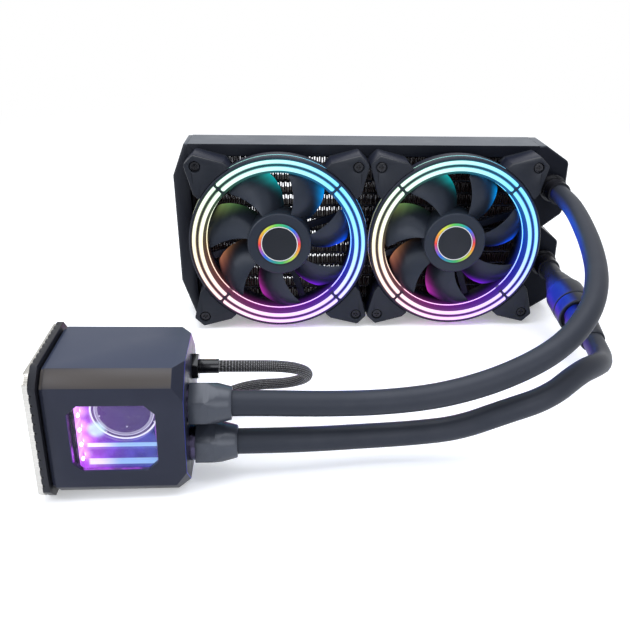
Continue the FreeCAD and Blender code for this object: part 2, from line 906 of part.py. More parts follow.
def buildRotor(body, label):
    top = size.hubTop
    hub = size.hubRadius
    inner = hub - size.hubWall
    roof = top - size.labelThick - size.hubSkin
    revolve(body, [
        (0, size.hubBottom), (hub, size.hubBottom), (hub, top - size.hubEdge),
        (hub - size.hubEdge, top), (size.labelRadius, top),
        (size.labelRadius, top - size.labelThick), (0, top - size.labelThick)], label + "Hub")
    # one blade through four curved sections, each on a plane further out
    root = hub - 2 * size.hubWall
    span = size.bladeTipRadius + size.bladeThick - root
    profiles = []
    for index, section in enumerate(bladeSections):
        out = root + span * section["reach"]
        sketch = sketchOn(body, "%sSection%d" % (label, index), "YZ_Plane", out)
        bladeSection(sketch, section)
        profiles.append(sketch)
    blade = body.newObject("PartDesign::AdditiveLoft", label + "Blade")
    blade.Profile = profiles[0]
    blade.Sections = profiles[1:]
    patternAround(body, [blade], size.bladeCount, label + "Blades")
    # blade tips follow the duct, and the hub is hollow for the motor
    tip = size.bladeTipRadius
    beyond = size.fanSize / 2
    revolve(body, [(tip, 0), (beyond, 0), (beyond, size.fanThick), (tip, size.fanThick)],
            label + "TipTrim", cut=True)
    hollow = sketchOn(body, label + "Hollow", "XY_Plane", roof)
    circle(hollow, inner)
    pocket(body, hollow, roof, label + "HubCavity")
    boss = sketchOn(body, label + "ShaftBoss", "XY_Plane", roof - size.hubBossDepth)
    circle(boss, size.hubBossRadius)
    pad(body, boss, size.hubBossDepth, label + "BossPad")
    hole = sketchOn(body, label + "ShaftHole", "XY_Plane", roof + size.hubSkin / 2)
    circle(hole, size.fanShaftRadius)
    pocket(body, hole, roof, label + "ShaftBore")


def bladeSection(sketch, section):
    # thin cambered section between two arcs and two blunt ends
    middle = Vector(section["sweep"], dimensions["bladeMiddle"], 0)
    turn = math.radians(section["pitch"])
    along = Vector(math.cos(turn), math.sin(turn), 0)
    normal = Vector(-along.y, along.x, 0)
    thickness = dimensions["bladeThick"]
    camber = section["camber"]
    blunt = dimensions["bladeBlunt"] / 2
    start = middle - along * (section["chord"] / 2)
    end = middle + along * (section["chord"] / 2)
    upperStart = start + normal * blunt
    upperEnd = end + normal * blunt
    upper = Part.Arc(upperStart, middle + normal * (camber + thickness / 2), upperEnd)
    lower = Part.Arc(start - normal * blunt, middle + normal * (camber - thickness / 2),
                     end - normal * blunt)
    sketch.addGeometry(upper, False)
    sketch.addGeometry(Part.LineSegment(upperEnd, end - normal * blunt), False)
    sketch.addGeometry(lower, False)
    sketch.addGeometry(Part.LineSegment(start - normal * blunt, upperStart), False)
    for index in range(4):
        sketch.addConstraint(Sketcher.Constraint("Block", index))


def buildStator(body, label):
    bottom = size.statorBottom
    plate = sketchOn(body, label + "Core", "XY_Plane", bottom)
    circle(plate, size.bossRadius + size.poleShoe)
    circle(plate, size.bossRadius)
    pad(body, plate, size.statorThick, label + "CorePad")
    pole = sketchOn(body, label + "Pole", "XY_Plane", bottom)
    half = size.poleWidth / 2
    arm = size.poleArm / 2
    edge = size.statorRadius
    outline(pole, [
        (size.bossRadius + 2, -half), (edge - 4.2, -half), (edge - 3.4, -arm), (edge - 1.6, -arm),
        (edge - 0.4, -half), (edge - 0.4, half), (edge - 1.6, arm), (edge - 3.4, arm),
        (edge - 4.2, half), (size.bossRadius + 2, half)])
    arms = pad(body, pole, size.statorThick, label + "PolePad")
    patternAround(body, [arms], 4, label + "Poles")


def buildFan(side, sign):
    x = sign * size.fanSize / 2
    seat = -size.radiatorDepth / 2
    height = size.radiatorHeight / 2
    frame = Placement(Vector(x.value, seat.value, height.value), Rotation(Vector(1, 0, 0), 90))
    bound = {"x": x, "y": seat, "z": height}

    def keep(thing, label, turn=0):
        spin = Placement(Vector(), Rotation(Vector(0, 0, 1), turn))
        publish(thing, label + "_" + side, frame.multiply(spin), bound)

    body = bodyNamed("frame" + side)
    buildFanFrame(body, "frame" + side)
    keep(body, "fan_frame")
    keep(buildPads("pads" + side), "fan_pads")
    keep(buildLights("lights" + side), "fan_lights")
    seatHeight = size.fanThick - size.channelDepth
    board = tubePiece("board" + side, size.lightOuter - size.seatClearance,
                      size.lightInner + size.seatClearance, seatHeight, seatHeight + size.boardThick)
    keep(board, "fan_light_board")
    rotor = bodyNamed("rotor" + side)
    buildRotor(rotor, "rotor" + side)
    keep(rotor, "fan_rotor", dimensions["bladePhase"])
    label = cylinder("label" + side, size.labelRadius, size.labelThick, z=size.hubTop - size.labelThick)
    keep(group("labelDisc" + side, [label]), "fan_hub_disc")
    yoke = tubePiece("yoke" + side, size.hubRadius - size.hubWall,
                     size.hubRadius - size.hubWall - size.yokeThick,
                     size.hubBottom + size.yokeEdge,
                     size.hubTop - size.labelThick - size.hubSkin - size.hubBossDepth)
    keep(yoke, "fan_magnet_ring")
    stator = bodyNamed("stator" + side)
    buildStator(stator, "stator" + side)
    keep(stator, "fan_stator")
    bearing = tubePiece("bearing" + side, size.bearingRadius, size.fanShaftRadius + size.runningFit,
                        size.boreBottom + 2, size.bossTop)
    keep(bearing, "fan_bearing")
    shaftTop = size.hubTop - size.labelThick - size.hubSkin / 2
    shaftLow = size.boreBottom + 0.5
    shaft = cylinder("shaft" + side, size.fanShaftRadius, shaftTop - shaftLow, z=shaftLow)
    keep(group("shaftPin" + side, [shaft]), "fan_shaft")


def buildFanScrews():
    pieces = []
    seat = size.fanThick - size.padDrop - size.padThick
    for fan in (-1, 1):
        for x, y in screwSpots():
            middle = fan * size.fanSize / 2 + x
            tag = "screw%d" % len(pieces)
            shank = cylinder(tag + "Shank", size.screwRadius, seat + size.screwReach,
                             middle, y, -size.screwReach)
            head = cylinder(tag + "Head", size.screwHeadRadius, size.screwHeadHeight, middle, y, seat)
            slots = []
            for turn in (0, 1):
                sides = [size.screwSlotLong, size.screwSlotWide]
                wide, narrow = sides if turn else sides[::-1]
                slots.append(block("%sSlot%d" % (tag, turn), wide, narrow, size.screwSlotDeep + 1,
                                   middle - wide / 2, y - narrow / 2,
                                   seat + size.screwHeadHeight - size.screwSlotDeep))
            whole = fuse(tag, [shank, head])
            pieces.append(cut(tag + "Cross", whole, fuse(tag + "Recess", slots)))
    seatY = -size.radiatorDepth / 2
    height = size.radiatorHeight / 2
    frame = Placement(Vector(0, seatY.value, height.value), Rotation(Vector(1, 0, 0), 90))
    publish(group("fanScrews", pieces), "fan_screws", frame, {"y": seatY, "z": height})


# Pump block, built upright with the cold plate's outer face at zero. It lies
# on its side, with its window to the front, resting on the mounting ring's
# lower edge and on the far end of the casing.

blockCorner = Vector(-161.8, -224.3, 1.94)


def blockFrame():
    turn = Rotation(Vector(0, 0, 1), size.blockTurn.value)
    lean = Rotation(Vector(0, 1, 0), 90 + size.blockTilt.value)
    rotation = turn.multiply(lean)
    offset = Vector(size.blockWidth.value / 2, -size.blockDepth.value / 2, size.casingStart.value)
    return Placement(blockCorner - rotation.multVec(offset), rotation)


onBlock = blockFrame()


def buildColdPlate():
    body = bodyNamed("coldPlate")
    face = sketchOn(body, "plateFace")
    octagon(face, size.blockWidth / 2 - size.plateInset, size.blockDepth / 2 + size.plateFront,
            size.plateCut)
    pad(body, face, size.plateThick, "plateSheet")
    count = dimensions["plateFinCount"]
    first = -size.plateFinPitch * (count - 1) / 2 - size.plateFinThick / 2
    fin = sketchOn(body, "plateFin", "XY_Plane", size.plateThick)
    long = size.chamberHalf - 1
    rectangle(fin, -long, first, long, first + size.plateFinThick)
    wall = pad(body, fin, size.chamberDepth - 0.6, "plateFinPad")
    patternAlong(body, [wall], "Y_Axis", size.plateFinPitch, size.plateFinCount, "plateFins")
    heads = sketchOn(body, "plateHeads")
    for x, y in plateScrewSpots():
        circle(heads, size.plateScrewHead, x, y)
    pocket(body, heads, size.plateThick, "plateHeadHoles", reverse=True)
    publish(body, "cold_plate", onBlock)


def plateScrewSpots():
    x = size.blockWidth / 2 - size.plateScrewInset
    y = size.blockDepth / 2 - size.plateScrewInset
    return [(x, y), (-x, y), (-x, -y), (x, -y)]


def buildPlateScrews():
    pieces = []
    for index, (x, y) in enumerate(plateScrewSpots()):
        tag = "plateScrew%d" % index
        sunk = size.plateScrewSunk
        deep = size.plateThick - sunk
        head = cylinder(tag + "Head", size.plateScrewHead, deep, x, y, sunk)
        shank = cylinder(tag + "Shank", size.plateScrewRadius, deep + size.plateScrewLength, x, y, sunk)
        socket = hexPrism(tag + "Socket", size.plateScrewSocket * math.sqrt(3),
                          size.plateScrewSocketDeep + sunk, x, y, 0)
        pieces.append(cut(tag, fuse(tag + "Whole", [head, shank]), socket))
    publish(group("plateScrews", pieces), "plate_screws", onBlock)


def buildMountingRing():
    body = bodyNamed("mountingRing")
    margin = size.ringMargin
    halfX = size.blockWidth / 2 + margin
    halfY = size.blockDepth / 2 + margin
    bottom = size.plateThick
    face = sketchOn(body, "ringFace", "XY_Plane", bottom)
    octagon(face, halfX, halfY, size.ringCut)
    inset = size.casingWall + size.seatClearance / 2
    octagon(face, size.blockWidth / 2 - inset, size.blockDepth / 2 - inset, size.innerCut)
    pad(body, face, size.ringThick, "ringPlate")
    # saw-tooth notches along the lower edge of all four sides
    for name, plane, half, across in (("Y", "YZ_Plane", halfY, halfX), ("X", "XZ_Plane", halfX, halfY)):
        run = half - size.ringCut
        count = int((2 * run.value) // dimensions["toothPitch"])
        first = -size.toothPitch * (count - 1) / 2
        for side in (-1, 1):
            offset = across if side > 0 else size.toothBite - across
            tooth = sketchOn(body, "tooth%s%d" % (name, side), plane, offset)
            outline(tooth, [
                (first - size.toothWidth / 2, bottom), (first + size.toothWidth / 2, bottom),
                (first, bottom + size.toothDepth)])
            bite = pocket(body, tooth, size.toothBite, "bite%s%d" % (name, side))
            axis = name + "_Axis"
            patternAlong(body, [bite], axis, size.toothPitch, count, "teeth%s%d" % (name, side))
    publish(body, "mounting_ring", onBlock)


def buildPumpBase():
    body = bodyNamed("pumpBase")
    inset = size.casingWall + size.seatClearance
    bottom = size.plateThick
    face = sketchOn(body, "baseFace", "XY_Plane", bottom)
    octagon(face, size.blockWidth / 2 - inset, size.blockDepth / 2 - inset, size.innerCut)
    pad(body, face, size.baseTop - bottom, "baseBlock")
    chamber = sketchOn(body, "baseChamber", "XY_Plane", bottom)
    half = size.chamberHalf
    rectangle(chamber, -half, -half, half, half)
    pocket(body, chamber, size.chamberDepth, "baseChamberCut", reverse=True)
    groove = sketchOn(body, "sealGroove", "XY_Plane", bottom)
    circle(groove, size.sealOuter)
    circle(groove, size.sealInner)
    pocket(body, groove, size.sealHeight, "sealGrooveCut", reverse=True)
    ways = sketchOn(body, "baseWays", "XY_Plane", bottom)
    circle(ways, size.wayRadius, size.wayAcross, 0)
    circle(ways, size.wayRadius, -size.wayAcross, 0)
    pocket(body, ways, size.baseTop - bottom, "baseWayCut", reverse=True)
    screws = sketchOn(body, "baseScrews", "XY_Plane", bottom)
    for x, y in plateScrewSpots():
        circle(screws, size.plateScrewRadius, x, y)
    pocket(body, screws, size.plateScrewLength, "baseScrewCut", reverse=True)
    publish(body, "pump_base", onBlock)
    seal = tubePiece("baseSeal", size.sealOuter, size.sealInner, bottom, bottom + size.sealHeight)
    publish(seal, "base_seal", onBlock)


def windowOutline(sketch, inset):
    # seen from the front: X is the block's width, Z its height
    half = size.windowHeight / 2 - inset
    reach = size.windowLength / 2 - inset
    octagon(sketch, half, reach, size.windowCut, 0, size.windowCentre)


def buildCasing():
    body = bodyNamed("casing")
    halfX = size.blockWidth / 2
    halfY = size.blockDepth / 2
    face = sketchOn(body, "casingFace", "XY_Plane", size.casingStart)
    octagon(face, halfX, halfY, size.blockCut)
    whole = pad(body, face, size.casingTop - size.casingStart, "casingBlock")
    doc.recompute()
    top = size.casingTop.value
    names = []
    for index, edge in enumerate(whole.Shape.Edges, start=1):
        box = edge.BoundBox
        slanted = box.XLength > 1 and box.YLength > 1
        if slanted and abs(box.ZMin - top) < 1e-4 and abs(box.ZMax - top) < 1e-4:
            names.append("Edge%d" % index)
    corner = body.newObject("PartDesign::Chamfer", "casingCorners")
    corner.Base = (whole, names)
    corner.ChamferType = "Equal distance"
    bind(corner, "Size", (size.cornerAlong + size.cornerAcross) / 2)
    body.Tip = corner
    foot = sketchOn(body, "casingFoot", "XY_Plane", size.casingFoot)
    inset = size.casingInset
    octagon(foot, halfX - inset, halfY - inset, size.blockCut)
    pad(body, foot, size.casingStart - size.casingFoot, "casingFootPad")
    wall = size.casingWall
    room = sketchOn(body, "casingRoom", "XY_Plane", size.casingFoot)
    octagon(room, halfX - wall, halfY - wall, size.innerCut)
    pocket(body, room, size.casingTop - size.topWall - size.casingFoot, "casingCavity", reverse=True)
    opening = sketchOn(body, "casingWindow", "XZ_Plane", halfY)
    windowOutline(opening, 0)
    pocket(body, opening, wall + 0.5, "casingWindowCut")
    holes = sketchOn(body, "casingHoles", "XY_Plane", size.casingTop)
    circle(holes, size.threadRadius, size.hosePortHigh, size.hosePortAcross)
    circle(holes, size.threadRadius, size.hosePortLow, size.hosePortAcross)
    circle(holes, size.glandThread, size.glandHigh, size.glandAcross)
    pocket(body, holes, size.topWall + 1, "casingHoleCut")
    publish(body, "block_casing", onBlock)
    pane = bodyNamed("window")
    front = sketchOn(pane, "windowFace", "XZ_Plane", halfY - size.windowRecess)
    windowOutline(front, size.seatClearance / 2)
    pad(pane, front, size.windowThick, "windowPane", reverse=True)
    publish(pane, "block_window", onBlock)


def buildReservoir():
    body = bodyNamed("reservoir")
    front = size.casingWall - size.blockDepth / 2
    back = front + size.reservoirDepth
    halfX = size.blockWidth / 2 - size.casingWall - size.tankClear
    low = size.baseTop + size.stripThick + size.ledHeight + size.tankGap
    high = size.casingTop - size.topWall - size.tankGap
    cutCorner = size.innerCut
    wall = size.reservoirWall
    face = sketchOn(body, "reservoirFace", "XY_Plane", low)
    outline(face, [
        (-halfX, front + cutCorner), (cutCorner - halfX, front), (halfX - cutCorner, front),
        (halfX, front + cutCorner), (halfX, back), (-halfX, back)])
    pad(body, face, high - low, "reservoirBlock")
    room = sketchOn(body, "reservoirRoom", "XY_Plane", low + wall)
    outline(room, [
        (wall - halfX, front + cutCorner), (cutCorner - halfX + 1, front + wall),
        (halfX - cutCorner - 1, front + wall), (halfX - wall, front + cutCorner),
        (halfX - wall, back - wall), (wall - halfX, back - wall)])
    pocket(body, room, high - low - 2 * wall, "reservoirCavity", reverse=True)
    # two shelves run the length of the tank below the pump
    shelves = sketchOn(body, "reservoirShelves", "XY_Plane", low + wall / 2)
    for height in (size.shelfLow, size.shelfHigh):
        rectangle(shelves, height, back - wall - size.shelfDeep, height + size.shelfThick,
                  back - wall / 2)
    pad(body, shelves, high - low - wall, "reservoirShelf")
    opening = sketchOn(body, "reservoirPump", "XZ_Plane", -back)
    circle(opening, size.coverRadius + size.seatClearance, size.pumpAcross, size.pumpAlong)
    pocket(body, opening, size.coverDepth + 0.5, "reservoirPumpCut", reverse=True)
    ports = sketchOn(body, "reservoirPorts", "XY_Plane", high)
    circle(ports, size.threadRadius + size.seatClearance, size.hosePortHigh, size.hosePortAcross)
    circle(ports, size.threadRadius + size.seatClearance, size.hosePortLow, size.hosePortAcross)
    pocket(body, ports, wall, "reservoirPortCut")
    publish(body, "reservoir", onBlock)
    return back


def buildLightStrip():
    half = size.stripLength / 2
    front = size.casingWall - size.blockDepth / 2
    start = front + size.stripSetBack
    board = block("strip", size.stripLength, size.stripWidth, size.stripThick, -half, start,
                  size.baseTop)
    pieces = [board]
    count = dimensions["ledCount"]
    for index in range(count):
        middle = size.ledPitch * (index - (count - 1) / 2)
        pieces.append(block("led%d" % index, size.ledSide, size.ledSide, size.ledHeight,
                            middle - size.ledSide / 2, start + size.stripWidth / 2 - size.ledSide / 2,
                            size.baseTop + size.stripThick))
    publish(group("lightStrip", pieces), "block_light_strip", onBlock)


def pumpFrame():
    # the pump's axis runs from the rear wall towards the window
    back = size.blockDepth.value / 2 - size.casingWall.value
    spot = Vector(size.pumpAcross.value, back, size.pumpAlong.value)
    return onBlock.multiply(Placement(spot, Rotation(Vector(1, 0, 0), 90)))


def buildPump(reservoirBack):
    onPump = pumpFrame()
    back = size.blockDepth / 2 - size.casingWall
    seat = back - reservoirBack
    # motor can behind the reservoir
    motor = bodyNamed("pumpMotor")
    wall = size.coverWall
    room = size.pumpStatorRadius + size.seatClearance
    bevel = size.pumpBevel
    revolve(motor, [
        (0, 0), (size.pumpRadius - bevel, 0), (size.pumpRadius, bevel), (size.pumpRadius, seat),
        (size.canRadius + size.seatClearance, seat), (size.canRadius + size.seatClearance, seat - wall),
        (room, seat - wall), (room, bevel + wall / 2), (size.pumpRadius - bevel - wall / 2, wall),
        (0, wall)], "motorCan")
    publish(motor, "pump_motor_housing", onPump)
    # sealed cup between rotor and stator, with the shaft's seat in its floor
    cup = bodyNamed("pumpCup")
    inner = size.canRadius - size.canWall
    low = seat - size.canDepth
    revolve(cup, [
        (0, low), (size.canRadius, low), (size.canRadius, seat), (size.coverRadius - wall, seat),
        (size.coverRadius - wall, seat + size.canWall), (inner, seat + size.canWall),
        (inner, low + size.canWall), (0, low + size.canWall)], "cupShell")
    publish(cup, "pump_cup", onPump)
    stator = tubePiece("pumpStator", size.pumpStatorRadius, size.canRadius,
                       seat - wall - size.pumpStatorThick - 1, seat - wall - 1)
    publish(stator, "pump_stator", onPump)
    # round cover that stands in the reservoir
    cover = bodyNamed("volute")
    outer = size.coverRadius
    depth = seat + size.coverDepth
    revolve(cover, [
        (size.inletRadius, depth), (outer - 2.5, depth), (outer, depth - 2.5), (outer, seat),
        (outer - wall, seat), (outer - wall, depth - 2.5 - wall / 2), (outer - 2.5 - wall, depth - wall),
        (size.inletRadius, depth - wall)], "coverShell")
    publish(cover, "pump_cover", onPump)
    # impeller with its magnet, on a fixed pin
    wheel = bodyNamed("impeller")
    discLow = seat + size.canWall + 1.5
    bore = size.pumpShaftRadius + size.runningFit
    magnetLow = discLow - size.magnetLength
    revolve(wheel, [
        (bore, magnetLow), (size.magnetRadius, magnetLow), (size.magnetRadius, discLow),
        (size.impellerRadius, discLow), (size.impellerRadius, discLow + size.impellerDisc),
        (size.eyeRadius, discLow + size.impellerDisc),
        (size.eyeRadius, discLow + size.impellerDisc + size.vaneHeight),
        (bore, discLow + size.impellerDisc + size.vaneHeight)], "wheelDisc")
    vane = sketchOn(wheel, "wheelVane", "XY_Plane", discLow + size.impellerDisc)
    # each vane curves back from the eye to the wheel's edge
    edge = size.impellerRadius
    root = size.eyeRadius - 0.6
    half = size.vaneThick / 2
    lag = size.vaneLag
    outline(vane, [(root, -half), (edge / 2, lag / 3 - half), (edge - 0.8, lag), (edge - 1.4, lag + 1),
                   (edge / 2, lag / 3 + half), (root, half)])
    blade = pad(wheel, vane, size.vaneHeight, "wheelVanePad")
    patternAround(wheel, [blade], size.vaneCount, "wheelVanes")
    publish(wheel, "impeller", onPump)
    pinLow = low + size.canWall
    axle = cylinder("pumpAxle", size.pumpShaftRadius, discLow + size.vaneHeight + 2.6 - pinLow, z=pinLow)
    publish(group("pumpShaft", [axle]), "impeller_shaft", onPump)


# Hose and lead connections on the block.

def hexPrism(name, flats, height, x, y, z):
    prism = doc.addObject("Part::Prism", name)
    prism.Polygon = 6
    bind(prism, "Circumradius", flats / math.sqrt(3))
    bind(prism, "Height", height)
    return moveTo(prism, x, y, z)


hosePorts = ((size.hosePortHigh, size.flangeHigh), (size.hosePortLow, size.flangeLow))


def buildBlockFittings():
    top = size.casingTop
    stems = []
    boots = []
    for index, (across, thick) in enumerate(hosePorts):
        tag = "stem%d" % index
        y = size.hosePortAcross
        thread = cylinder(tag + "Thread", size.threadRadius, size.topWall + 2, across, y,
                          top - size.topWall - 2)
        flange = cylinder(tag + "Flange", size.flangeRadius, thick, across, y, top)
        barb = cylinder(tag + "Barb", size.hoseBore, size.barbLength, across, y, top + thick)
        bore = cylinder(tag + "Bore", size.flowBore, size.topWall + thick + size.barbLength + 4,
                        across, y, top - size.topWall - 3)
        stems.append(cut(tag, fuse(tag + "Whole", [thread, flange, barb]), bore))
        tag = "boot%d" % index
        low = top + thick
        hexagon = hexPrism(tag + "Hex", size.bootFlats, size.bootLength, across, y, low)
        taper = doc.addObject("Part::Cone", tag + "Taper")
        # the taper starts wider than the hexagon's corners, so its flats run out on the way
        bind(taper, "Radius1", size.bootSpread)
        bind(taper, "Radius2", size.bootMouth)
        bind(taper, "Height", size.bootLength)
        moveTo(taper, across, y, low)
        hole = cylinder(tag + "Hole", size.hoseRadius + size.bootFit, size.bootLength + 2,
                        across, y, low - 1)
        boots.append(cut(tag, common(tag + "Body", hexagon, taper), hole))
    publish(group("stems", stems), "hose_barbs", onBlock)
    publish(group("boots", boots), "hose_boots", onBlock)
    x = size.glandHigh
    y = size.glandAcross
    nut = hexPrism("glandNut", size.glandFlats, size.glandThick, x, y, top)
    thread = cylinder("glandThread", size.glandThread, size.topWall, x, y, top - size.topWall)
    bore = cylinder("glandBore", size.leadRadius - 0.4, size.topWall + size.glandThick + 2,
                    x, y, top - size.topWall - 1)
    publish(cut("gland", fuse("glandWhole", [nut, thread]), bore), "cable_gland", onBlock)
    start = top + size.glandThick
    sleeve = tubePiece("sleeve", size.sleeveRadius, size.leadRadius + size.leadFit,
                       start, start + size.sleeveLength, x, y)
    publish(sleeve, "cable_sleeve", onBlock)


# Ports on the radiator, which face the front.

def buildPorts():
    fittings = []
    cuffs = []
    for index, height in enumerate((size.portHigh, size.portLow)):
        tag = "port%d" % index
        x = size.sideLength / 2 + size.portAcross
        y = height
        thread = cylinder(tag + "Thread", size.threadRadius, size.tankWall, x, y, -size.tankWall)
        flange = cylinder(tag + "Flange", size.portFlangeRadius, size.portFlangeThick, x, y, 0)
        collar = cylinder(tag + "Collar", size.portCollarRadius, size.portCollarEnd, x, y, 0)
        barb = cylinder(tag + "Barb", size.hoseBore, size.portBarbEnd, x, y, 0)
        bore = cylinder(tag + "Bore", size.flowBore, size.tankWall + size.portBarbEnd + 2,
                        x, y, -size.tankWall - 1)
        fittings.append(cut(tag, fuse(tag + "Whole", [thread, flange, collar, barb]), bore))
        tag = "cuff%d" % index
        sleeve = cylinder(tag + "Sleeve", size.cuffRadius, size.cuffEnd - size.portCollarEnd,
                          x, y, size.portCollarEnd)
        hole = cylinder(tag + "Hole", size.hoseRadius + size.bootFit, size.cuffEnd, x, y,
                        size.portCollarEnd - 1)
        cuffs.append(cut(tag, sleeve, hole))
    seat = -size.radiatorDepth / 2
    frame = Placement(Vector(0, seat.value, 0), Rotation(Vector(1, 0, 0), 90))
    publish(group("ports", fittings), "radiator_ports", frame, {"y": seat})
    publish(group("cuffs", cuffs), "hose_cuffs", frame, {"y": seat})


# Quick coupling in the lower hose. Its axis starts where the short hose bends.

bendPoint = Vector((size.sideLength / 2 + size.portAcross).value, -38, size.portLow.value)
couplingWay = Vector(-0.0328, -0.9963, -0.0804).normalize()


def couplingFrame():
    start = bendPoint + couplingWay * size.couplingStart.value
    return Placement(start, Rotation(Vector(0, 0, 1), couplingWay))


def buildCoupling():
    frame = couplingFrame()
    bore = size.hoseRadius + size.bootFit
    stop = size.hoseInset + 2
    socket = bodyNamed("socket")
    wide = size.socketRadius
    coneEnd = size.socketConeEnd
    end = size.socketEnd
    revolve(socket, [
        (size.flowBore, -4), (size.hoseBore, -4), (size.hoseBore, stop), (bore, stop), (bore, 0),
        (size.socketNeck, 0), (size.socketNeck + 0.8, 2), (wide - 1.6, coneEnd - 5), (wide, coneEnd),
        (wide, end - 0.6), (wide - 0.6, end), (size.socketBore, end), (size.socketBore, stop + 6),
        (size.flowBore, stop + 6)], "socketShell")
    publish(socket, "coupling_socket", frame)
    plug = bodyNamed("plug")
    body = size.plugRadius
    last = size.plugEnd
    revolve(plug, [
        (size.flowBore, stop + 7), (body - 1.5, stop + 7), (body, stop + 8.5), (body, size.plugShoulder),
        (size.plugShoulderRadius, size.plugShoulder), (size.plugShoulderRadius, size.plugShoulderEnd),
        (body + 0.6, size.plugShoulderEnd + 1), (size.plugMouth, last - 1), (size.plugMouth - 0.5, last),
        (bore, last), (bore, last - stop), (size.hoseBore, last - stop), (size.hoseBore, last + 3),
        (size.flowBore, last + 3)], "plugShell")
    publish(plug, "coupling_plug", frame)
    collar = bodyNamed("collar")
    inner = body + size.runningFit
    outer = size.collarRadius
    low = size.collarStart
    high = size.collarEnd
    dish = size.collarDish
    revolve(collar, [
        (inner, low), (outer - 0.6, low), (outer, low + 0.6), (outer, high - 0.8), (outer - 0.8, high),
        (outer - 0.8 - dish / 2, high), (outer - 0.8 - dish, high - dish), (inner, high - dish)],
        "collarRing")
    publish(collar, "coupling_collar", frame)
    return frame


# Hoses and the sleeved lead. Each route is a list of corners picked by eye;
# straight runs are joined by arcs as large as the runs allow.

upperHose = [
    Vector(-36, -203, 37.5), Vector(-5, -202, 37),
    Vector(25, -203, 41), Vector(55, -202.5, 50.5), Vector(82, -197, 62.5), Vector(102, -180, 74),
    Vector(114.5, -154, 81.5), Vector(122, -124, 87), Vector(127, -94, 91), Vector(130.5, -66, 94),
    Vector(131.5, -44, 95), Vector(131.5, -27, 95)]

lowerHose = [
    Vector(-42, -202, 16.4), Vector(-16.9, -199, 15.3), Vector(8.2, -198.5, 15.9),
    Vector(33, -199.6, 19), Vector(54.7, -201.5, 28.9), Vector(79, -198.9, 35.6),
    Vector(98.9, -184.9, 41.8), Vector(113.4, -172.8, 39.5), Vector(123, -157.9, 33)]

leadRoute = [
    Vector(-57.5, -180.3, 46.8), Vector(-46.7, -174.5, 41.5), Vector(-42.5, -165.2, 32.8),
    Vector(-46.7, -155.8, 24.2), Vector(-57.5, -150, 18.8), Vector(-71, -149.7, 18.6),
    Vector(-84, -150.5, 16), Vector(-96, -153.5, 11), Vector(-107, -157.5, 5.8),
    Vector(-117.5, -160, 3.1), Vector(-128, -160, 3.1)]

coilCentre = Vector(-150, -128, 0)


def routeWire(points, name):
    # straight runs and tangent arcs through a list of corners
    edges = []
    start = points[0]
    radii = []
    for index in range(1, len(points) - 1):
        back = points[index - 1] - points[index]
        onward = points[index + 1] - points[index]
        shorter = min(back.Length, onward.Length)
        half = (math.pi - back.getAngle(onward)) / 2
        reach = 0.45 * shorter
        radii.append(reach / math.tan(half))
        first = points[index] + back.normalize() * reach
        last = points[index] + onward.normalize() * reach
        inward = (back + onward).normalize()
        crown = points[index] + inward * radii[-1] * (1 / math.cos(half) - 1)
        edges.append(Part.LineSegment(start, first).toShape())
        edges.append(Part.Arc(first, crown, last).toShape())
        start = last
    edges.append(Part.LineSegment(start, points[-1]).toShape())
    print("%s arc radii: %s" % (name, " ".join("%.0f" % radius for radius in radii)))
    return Part.Wire(edges)


def sweptSolid(path, radius):
    begin = path.Edges[0].Vertexes[0].Point
    way = path.Edges[0].tangentAt(path.Edges[0].FirstParameter)
    ring = Part.Wire([Part.Circle(begin, way, radius).toShape()])
    return path.makePipeShell([ring], True, True)


def buildTube(label, points, outer, bore=None):
    path = routeWire(points, label)
    solid = sweptSolid(path, outer.value)
    area = math.pi * outer.value ** 2
    if bore is not None:
        solid = solid.cut(sweptSolid(path, bore.value))
        area -= math.pi * bore.value ** 2
    ratio = solid.Volume / (area * path.Length)
    print("%s length %.1f, volume ratio %.4f" % (label, path.Length, ratio))
    tube = doc.addObject("Part::Feature", label + "Tube")
    tube.Shape = solid
    publish(tube, label, Placement())


def buildHoses(frame):
    blockAlong = onBlock.Rotation.multVec(Vector(0, 0, 1))
    starts = []
    for across, thick in hosePorts:
        mouth = size.casingTop + thick + size.hoseInset / 2
        starts.append(onBlock.multVec(Vector(across.value, size.hosePortAcross.value, mouth.value)))
    upper, lower = starts
    first = blockAlong * size.hoseFirstRun.value
    buildTube("hose_upper", [upper, upper + first] + upperHose, size.hoseRadius, size.hoseBore)
    mouth = frame.multVec(Vector(0, 0, (size.plugEnd - size.hoseInset).value))
    last = couplingWay * size.hoseLastRun.value
    buildTube("hose_lower", [lower, lower + first] + lowerHose + [mouth + last, mouth],
              size.hoseRadius, size.hoseBore)
    portMouth = Vector(bendPoint.x, -27, bendPoint.z)
    stubEnd = frame.multVec(Vector(0, 0, size.hoseInset.value))
    buildTube("hose_stub", [portMouth, bendPoint, stubEnd], size.hoseRadius, size.hoseBore)


